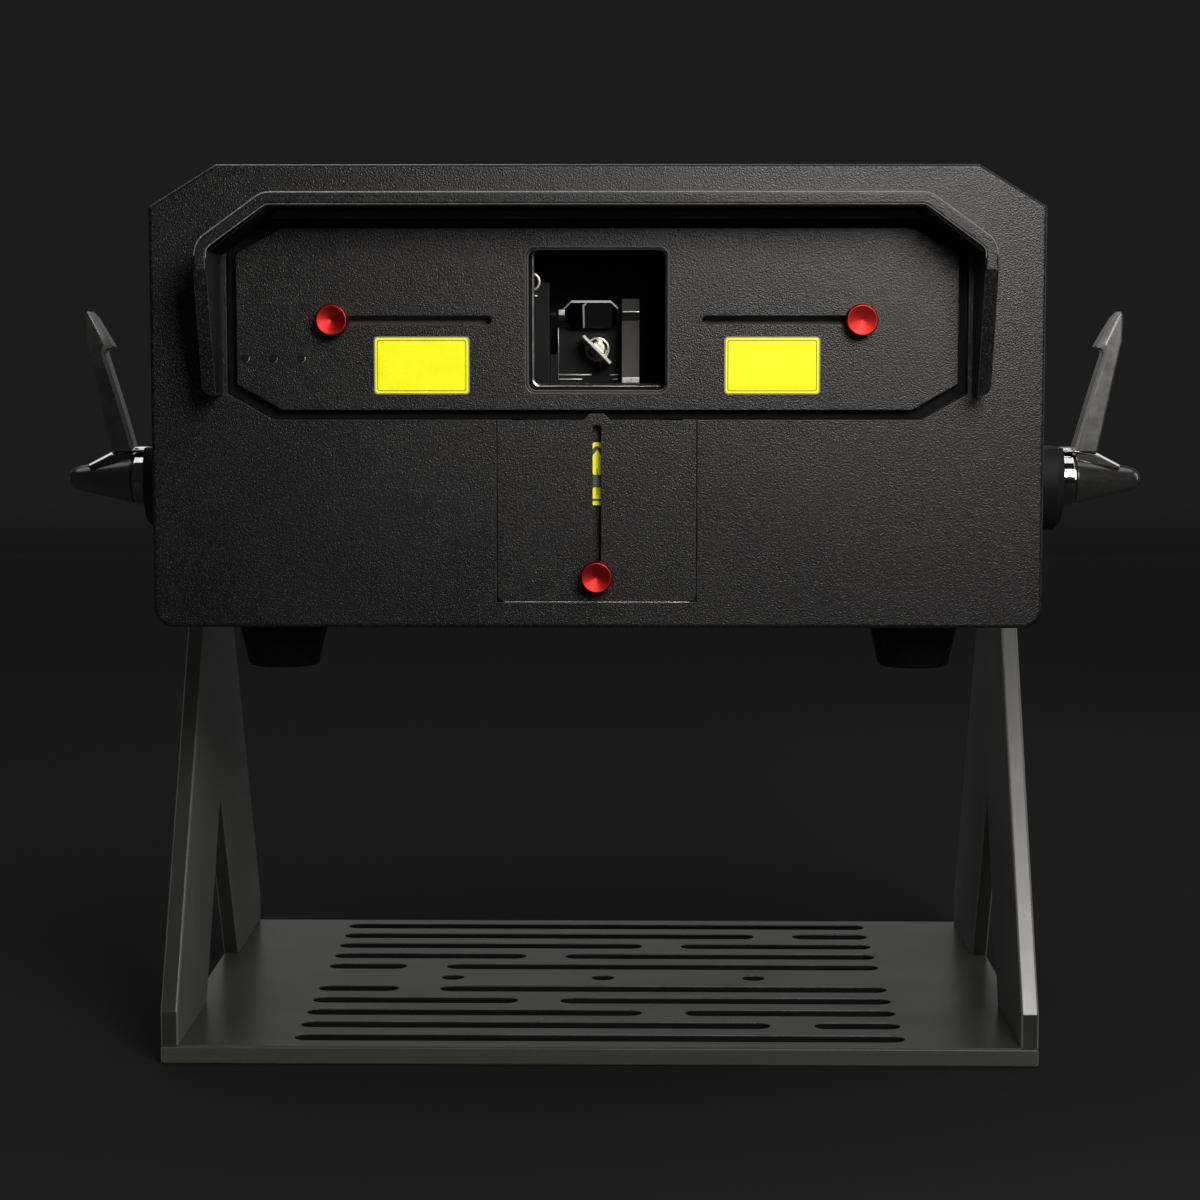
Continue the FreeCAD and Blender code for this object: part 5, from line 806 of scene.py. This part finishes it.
ARM_EDGE = [(-1.2, 13.2), (5.4, 36.6), (11.4, 56.4), (11.9, 57.9), (12.2, 59.2), (11.7, 60.6),
            (10.5, 61.3), (8.9, 61.5), (8.7, 62.2), (12.6, 69.0), (16.5, 75.5), (19.3, 78.3),
            (20.4, 78.3), (21.0, 77.2), (21.0, 64.7), (19.8, 59.7), (15.0, 36.0), (10.25, 13.0)]
ARM_FACE = [(0.5, 13.2), (7.0, 36.2), (12.9, 55.9), (13.3, 57.6), (13.6, 59.4), (13.4, 61.0),
            (13.1, 61.9), (12.8, 62.5), (12.8, 63.3), (15.7, 70.0), (18.3, 75.4), (19.6, 77.2),
            (20.1, 77.2), (20.4, 76.5), (20.4, 64.7), (19.2, 59.8), (14.4, 36.1), (9.7, 13.1)]
LIP_SEAT = [(-6.7, 12.8), (0.2, 12.8), (0.2, 9.0), (20.6, 5.0)]
LIP_EDGE = LIP_SEAT + [(21.0, 6.9), (10.4, 12.5), (-1.2, 14.9), (-6.7, 14.9)]
LIP_FACE = LIP_SEAT + [(20.7, 5.8), (10.1, 11.2), (-1.4, 13.5), (-6.7, 13.5)]
HUB_PROFILE = [(10.8, 0.1), (11.5, 0.6), (9.55, 9.0), (7.4, 18.5), (5.7, 26.0), (4.7, 28.8), (3.0, 30.4),
               (1.2, 30.9)]
INNER_BEVELS = range(11)
LEVER_HALF = 6.5


def lever(word, side):
    mesh = bmesh.new()

    def bevelled(face, edge, flat, slot, cap_slot):
        """Solid with a face outline in front and behind, bevelled out to an edge outline between them."""
        loops = []
        for points, depth in ((face, -LEVER_HALF), (edge, -flat), (edge, flat), (face, LEVER_HALF)):
            spots = [(side * (HUB_START + u), PIVOT_Z + v) for u, v in points]
            loops.append([mesh.verts.new(place("y", u, v, depth)) for u, v in spots])
        add_faces(mesh, loops, slot)
        for cap in (loops[0], loops[-1]):
            mesh.faces.new(cap).material_index = cap_slot

    bevelled(ARM_FACE, ARM_EDGE, 5.2, 0, 0)
    mesh.faces.ensure_lookup_table()
    for i in INNER_BEVELS:
        mesh.faces[i].material_index = 3
    bevelled(LIP_FACE, LIP_EDGE, 5.0, 1, 2)
    hub = [(radius, side * (HUB_START + level)) for radius, level in HUB_PROFILE]
    lathe(mesh, "x", (0.0, PIVOT_Z), hub, 2, 64)
    finishes = [LEVER, LIP, BULLET, BARE_EDGE]
    piece = make_piece(word + "_lever_casting", mesh, finishes, word + "_lever", 0.3)
    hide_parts(word + "_lever_handle")


lever("left", -1)
lever("right", 1)


# Arrow strip behind the lower slot: yellow arrow and ends, grey hatching, on a dark film

def arrow_strip():
    top, length, half = 271.4, 26.0, 1.95
    back, front, lift = -170.55, -170.85, 0.06
    mesh = bmesh.new()

    def film(points, slot=0, raised=lift):
        outline = [(across, top - drop) for across, drop in points]
        prism(mesh, "y", outline, front - raised, back, slot)

    film([(-half, 0.0), (half, 0.0), (half, length), (-half, length)], 1, 0.0)
    cap = [(-half, 3.1), (-half, 1.0), (-half + 0.5, 0.3), (0.0, 0.0), (half - 0.5, 0.3), (half, 1.0),
           (half, 3.1), (1.2, 2.3), (0.5, 1.7), (-0.5, 1.7), (-1.2, 2.3)]
    film(cap)
    arrow = [(0.0, 3.2), (half, 5.7), (half, 12.6), (half - 0.5, 13.4), (0.2, 13.4), (0.2, 10.9),
             (-0.2, 10.9), (-0.2, 13.4), (-half + 0.5, 13.4), (-half, 12.6), (-half, 5.7)]
    film(arrow)
    inner = half - 0.4
    for i in range(6):
        start, end = 14.2 + 0.7 * i, 14.55 + 0.7 * i
        film([(-inner, start), (inner, start), (inner, end), (-inner, end)], 2)
    foot = [(-0.2, 18.6), (-0.2, 21.8), (0.2, 21.8), (0.2, 18.6), (half - 0.6, 18.6), (half, 19.6),
            (half, 23.3), (-half, 23.3), (-half, 19.6), (-half + 0.6, 18.6)]
    film(foot)
    tail = [(-half, 24.2), (half, 24.2), (half, 25.4), (half - 0.5, 25.9), (-half + 0.5, 25.9),
            (-half, 25.4)]
    film(tail)
    piece = make_piece("arrow_strip_film", mesh, [STRIP_YELLOW_PAINTED_LIGHT, BLADE_PAINTED_LIGHT, HATCH], "lower_blade")
    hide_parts("arrow_strip")


arrow_strip()


# Base plate, back, top and sides: painted shade sheets, screws and contacts

GAP_SHARES = {1: -0.322, 2: -0.108, 3: 0.106, 4: 0.32}
PLATE_HOLES = (-72.0, 0.0, 72.0)
HOLE_RADIUS = 5.5


def slot_shade_sheets():
    """Black sheets on the walls of the slots and holes in the base plate: painted shade."""
    mesh = bmesh.new()
    end, width, gap, pitch = 134.0, 12.0, 19.3, 23.0
    for row in range(-5, 6):
        runs = [(-end, end)]
        if abs(row) in GAP_SHARES:
            middle = GAP_SHARES[abs(row)] * 2 * end
            runs = [(-end, middle - gap / 2), (middle + gap / 2, end)]
        if row == 0:
            runs = [(across - HOLE_RADIUS, across + HOLE_RADIUS) for across in PLATE_HOLES]
        for start, stop in runs:
            half = (stop - start) / 2
            broad = min(half, width / 2)
            spot = ((start + stop) / 2, row * pitch)
            ring_prism(mesh, "z", rounded(half - 0.04, broad - 0.04, broad - 0.05, spot),
                       rounded(half - 0.3, broad - 0.3, broad - 0.31, spot), 0.3, 7.5)
    make_piece("slot_shade_sheets", mesh, [MATT_BLACK], "yoke")


def screw_head(mesh, axis, spot, face, way, radius=2.6):
    """Domed screw head with a dark six-sided socket, on a face that looks along way."""
    profile = [(radius, face + way * 0.05), (radius, face + way * 0.6), (radius * 0.75, face + way * 1.1),
               (radius * 0.5, face + way * 1.15)]
    lathe(mesh, axis, spot, profile, 0, 20)
    prism(mesh, axis, circle(radius * 0.48, spot, 6), face + way * 0.7, face + way * 1.2, 1)


def case_screws():
    """Screws of the top cover, the side panels, the fans and the sockets."""
    mesh = bmesh.new()
    cover_x, flange = 138.0, 2.5
    for way in (-1, 1):
        for deep in (-148.0, 16.0, 180.0):
            screw_head(mesh, "z", (way * cover_x, deep), TOP_FACE, 1)
            for high in (207.5, 354.0):
                screw_head(mesh, "x", (deep, high), way * SIDE_FACE, way)
        for across in FAN_HOLES:
            for rise in FAN_HOLES:
                screw_head(mesh, "y", (way * FAN_X + across, FAN_Z + rise), REAR_FACE, 1, 2.9)
    for across in ROUND_SOCKETS:
        for way in (-1, 1):
            spot = (across + way * 9.8, FITTING_Z - way * 12.3)
            screw_head(mesh, "y", spot, REAR_FACE + flange, 1, 1.7)
    make_piece("case_screws", mesh, [ZINC, MATT_BLACK], "head")


def rear_contacts():
    """Blades of the mains inlet, pins of the round sockets and the face of the flat socket."""
    mesh = bmesh.new()
    for across, rise in ((-7.2, -2.4), (0.0, 3.36), (7.2, -2.4)):
        blade = rounded(1.5, 2.75, 0.4, (MAINS_INLET + across, FITTING_Z + rise), 3)
        prism(mesh, "y", blade, REAR_FACE - 13.0, REAR_FACE + 1.6)
    pin = [(0.9, REAR_FACE - 0.4), (0.9, REAR_FACE + 1.4), (0.5, REAR_FACE + 1.8)]
    for across in ROUND_SOCKETS:
        middle = (across, FITTING_Z)
        ring_prism(mesh, "y", circle(9.3, middle), circle(8.6, middle), REAR_FACE - 9.0, REAR_FACE + 2.6)
        for spot in arc(3.4, middle, 90, 120, 3):
            lathe(mesh, "y", spot, pin, 1, 16)
    middle = (FLAT_SOCKET, FITTING_Z)
    prism(mesh, "y", rounded(18.6, 3.5, 1.6, middle), REAR_FACE + 5.9, REAR_FACE + 6.15, 2)
    contact = [(0.6, REAR_FACE + 6.1), (0.6, REAR_FACE + 6.3), (0.3, REAR_FACE + 6.35)]
    contact_pitch = 2.76
    for count, rise in ((13, 1.4), (12, -1.4)):
        for i in range(count):
            spot = (FLAT_SOCKET + contact_pitch * (i - (count - 1) / 2), FITTING_Z + rise)
            lathe(mesh, "y", spot, contact, 1, 12)
    for way in (-1, 1):
        spot = (FLAT_SOCKET + way * 23.5, FITTING_Z)
        prism(mesh, "y", circle(2.7, spot, 6), REAR_FACE + 1.2, REAR_FACE + 5.6)
        prism(mesh, "y", circle(1.3, spot, 16), REAR_FACE + 5.5, REAR_FACE + 5.7, 2)
    piece = make_piece("rear_contacts", mesh, [GUARD_STEEL, KEY_METAL, MATT_BLACK], "head", 0.1)


slot_shade_sheets()
case_screws()
rear_contacts()


# Stage, light and camera

def stage_floor():
    """Floor that lights the object from below as a pale one and shows as a dark one, like the backdrop."""
    mesh = bpy.data.meshes.new("floor")
    reach, fade_start, fade_end = 14.0, 1.0, 4.0
    corners = [(-reach, -reach, 0.0), (reach, -reach, 0.0), (reach, reach, 0.0), (-reach, reach, 0.0)]
    mesh.from_pydata(corners, [], [(0, 1, 2, 3)])
    floor = bpy.data.objects.new("floor", mesh)
    floor.location.z = -0.3 * MM
    bpy.context.scene.collection.objects.link(floor)
    mat, tree, shader = start_material("studio_floor", PALE_FLOOR, 0.7, gloss=0.0)
    seen = backdrop_rays(tree)
    tree.links.new(blend_colors(tree, seen, PALE_FLOOR, DARK_FLOOR), shader.inputs["Base Color"])
    length = add_node(tree, "ShaderNodeVectorMath", operation="LENGTH")
    tree.links.new(object_coords(tree), length.inputs[0])
    glow = add_node(tree, "ShaderNodeEmission")
    tree.links.new(blend_colors(tree, seen, SKY_LIGHT, BACKDROP), glow.inputs["Color"])
    mix = add_node(tree, "ShaderNodeMixShader")
    tree.links.new(spread(tree, length.outputs["Value"], 0.0, 1.0, fade_start, fade_end), mix.inputs[0])
    tree.links.new(shader.outputs[0], mix.inputs[1])
    tree.links.new(glow.outputs[0], mix.inputs[2])
    output = [n for n in tree.nodes if n.type == "OUTPUT_MATERIAL"][0]
    tree.links.new(mix.outputs[0], output.inputs["Surface"])
    mesh.materials.append(mat)


def area_light(name, spot, target, size, power, color=WHITE_LIGHT):
    """Lamp of a given size in metres and power in watts, aimed at a target and hidden from the camera."""
    data = bpy.data.lights.new(name, "AREA")
    data.shape = "RECTANGLE"
    data.size, data.size_y = size
    data.energy = power
    data.color = color
    light = bpy.data.objects.new(name, data)
    light.location = spot
    light.rotation_euler = (Vector(target) - Vector(spot)).to_track_quat("-Z", "Y").to_euler()
    light.visible_camera = False
    bpy.context.scene.collection.objects.link(light)


def studio():
    """Even sky light with a dark backdrop, and six lamps."""
    scene = bpy.context.scene
    world = bpy.data.worlds.new("studio")
    scene.world = world
    world.use_nodes = True
    tree = world.node_tree
    sky = tree.nodes["Background"]
    tree.links.new(blend_colors(tree, backdrop_rays(tree), SKY_LIGHT, BACKDROP), sky.inputs["Color"])
    area_light("key", (0.24, -0.95, 0.62), (0.02, -0.1, 0.28), (0.3, 0.3), 8.0, WARM_LIGHT)
    area_light("upper", (0.34, -0.86, 0.89), (0.18, 0.0, 0.2), (0.2, 0.3), 1.3, WARM_LIGHT)
    area_light("side", (1.6, 0.1, 0.7), (0.0, 0.0, 0.25), (0.6, 1.0), 5.0)
    area_light("top", (0.0, 0.2, 1.7), (0.0, 0.05, 0.2), (3.0, 1.2), 15.0)
    area_light("back", (0.0, 2.6, 0.55), (0.0, 0.0, 0.2), (3.0, 1.1), 2.8)
    area_light("rear", (-0.35, 1.1, 1.45), (0.0, 0.15, 0.25), (0.9, 0.9), 6.0)
    scene.view_settings.view_transform = "Standard"


def photo_camera():
    """Camera fitted to the photograph's square frame."""
    data = bpy.data.cameras.new("photo_camera")
    data.lens = 83.55
    data.sensor_width = 36.0
    data.clip_start = 0.05
    data.clip_end = 60.0
    camera = bpy.data.objects.new("photo_camera", data)
    camera.location = (0.0188, -1.3125, 0.316)
    camera.rotation_euler = (math.radians(84.517), 0.0, 0.0154)
    bpy.context.scene.collection.objects.link(camera)
    bpy.context.scene.camera = camera


stage_floor()
studio()
photo_camera()
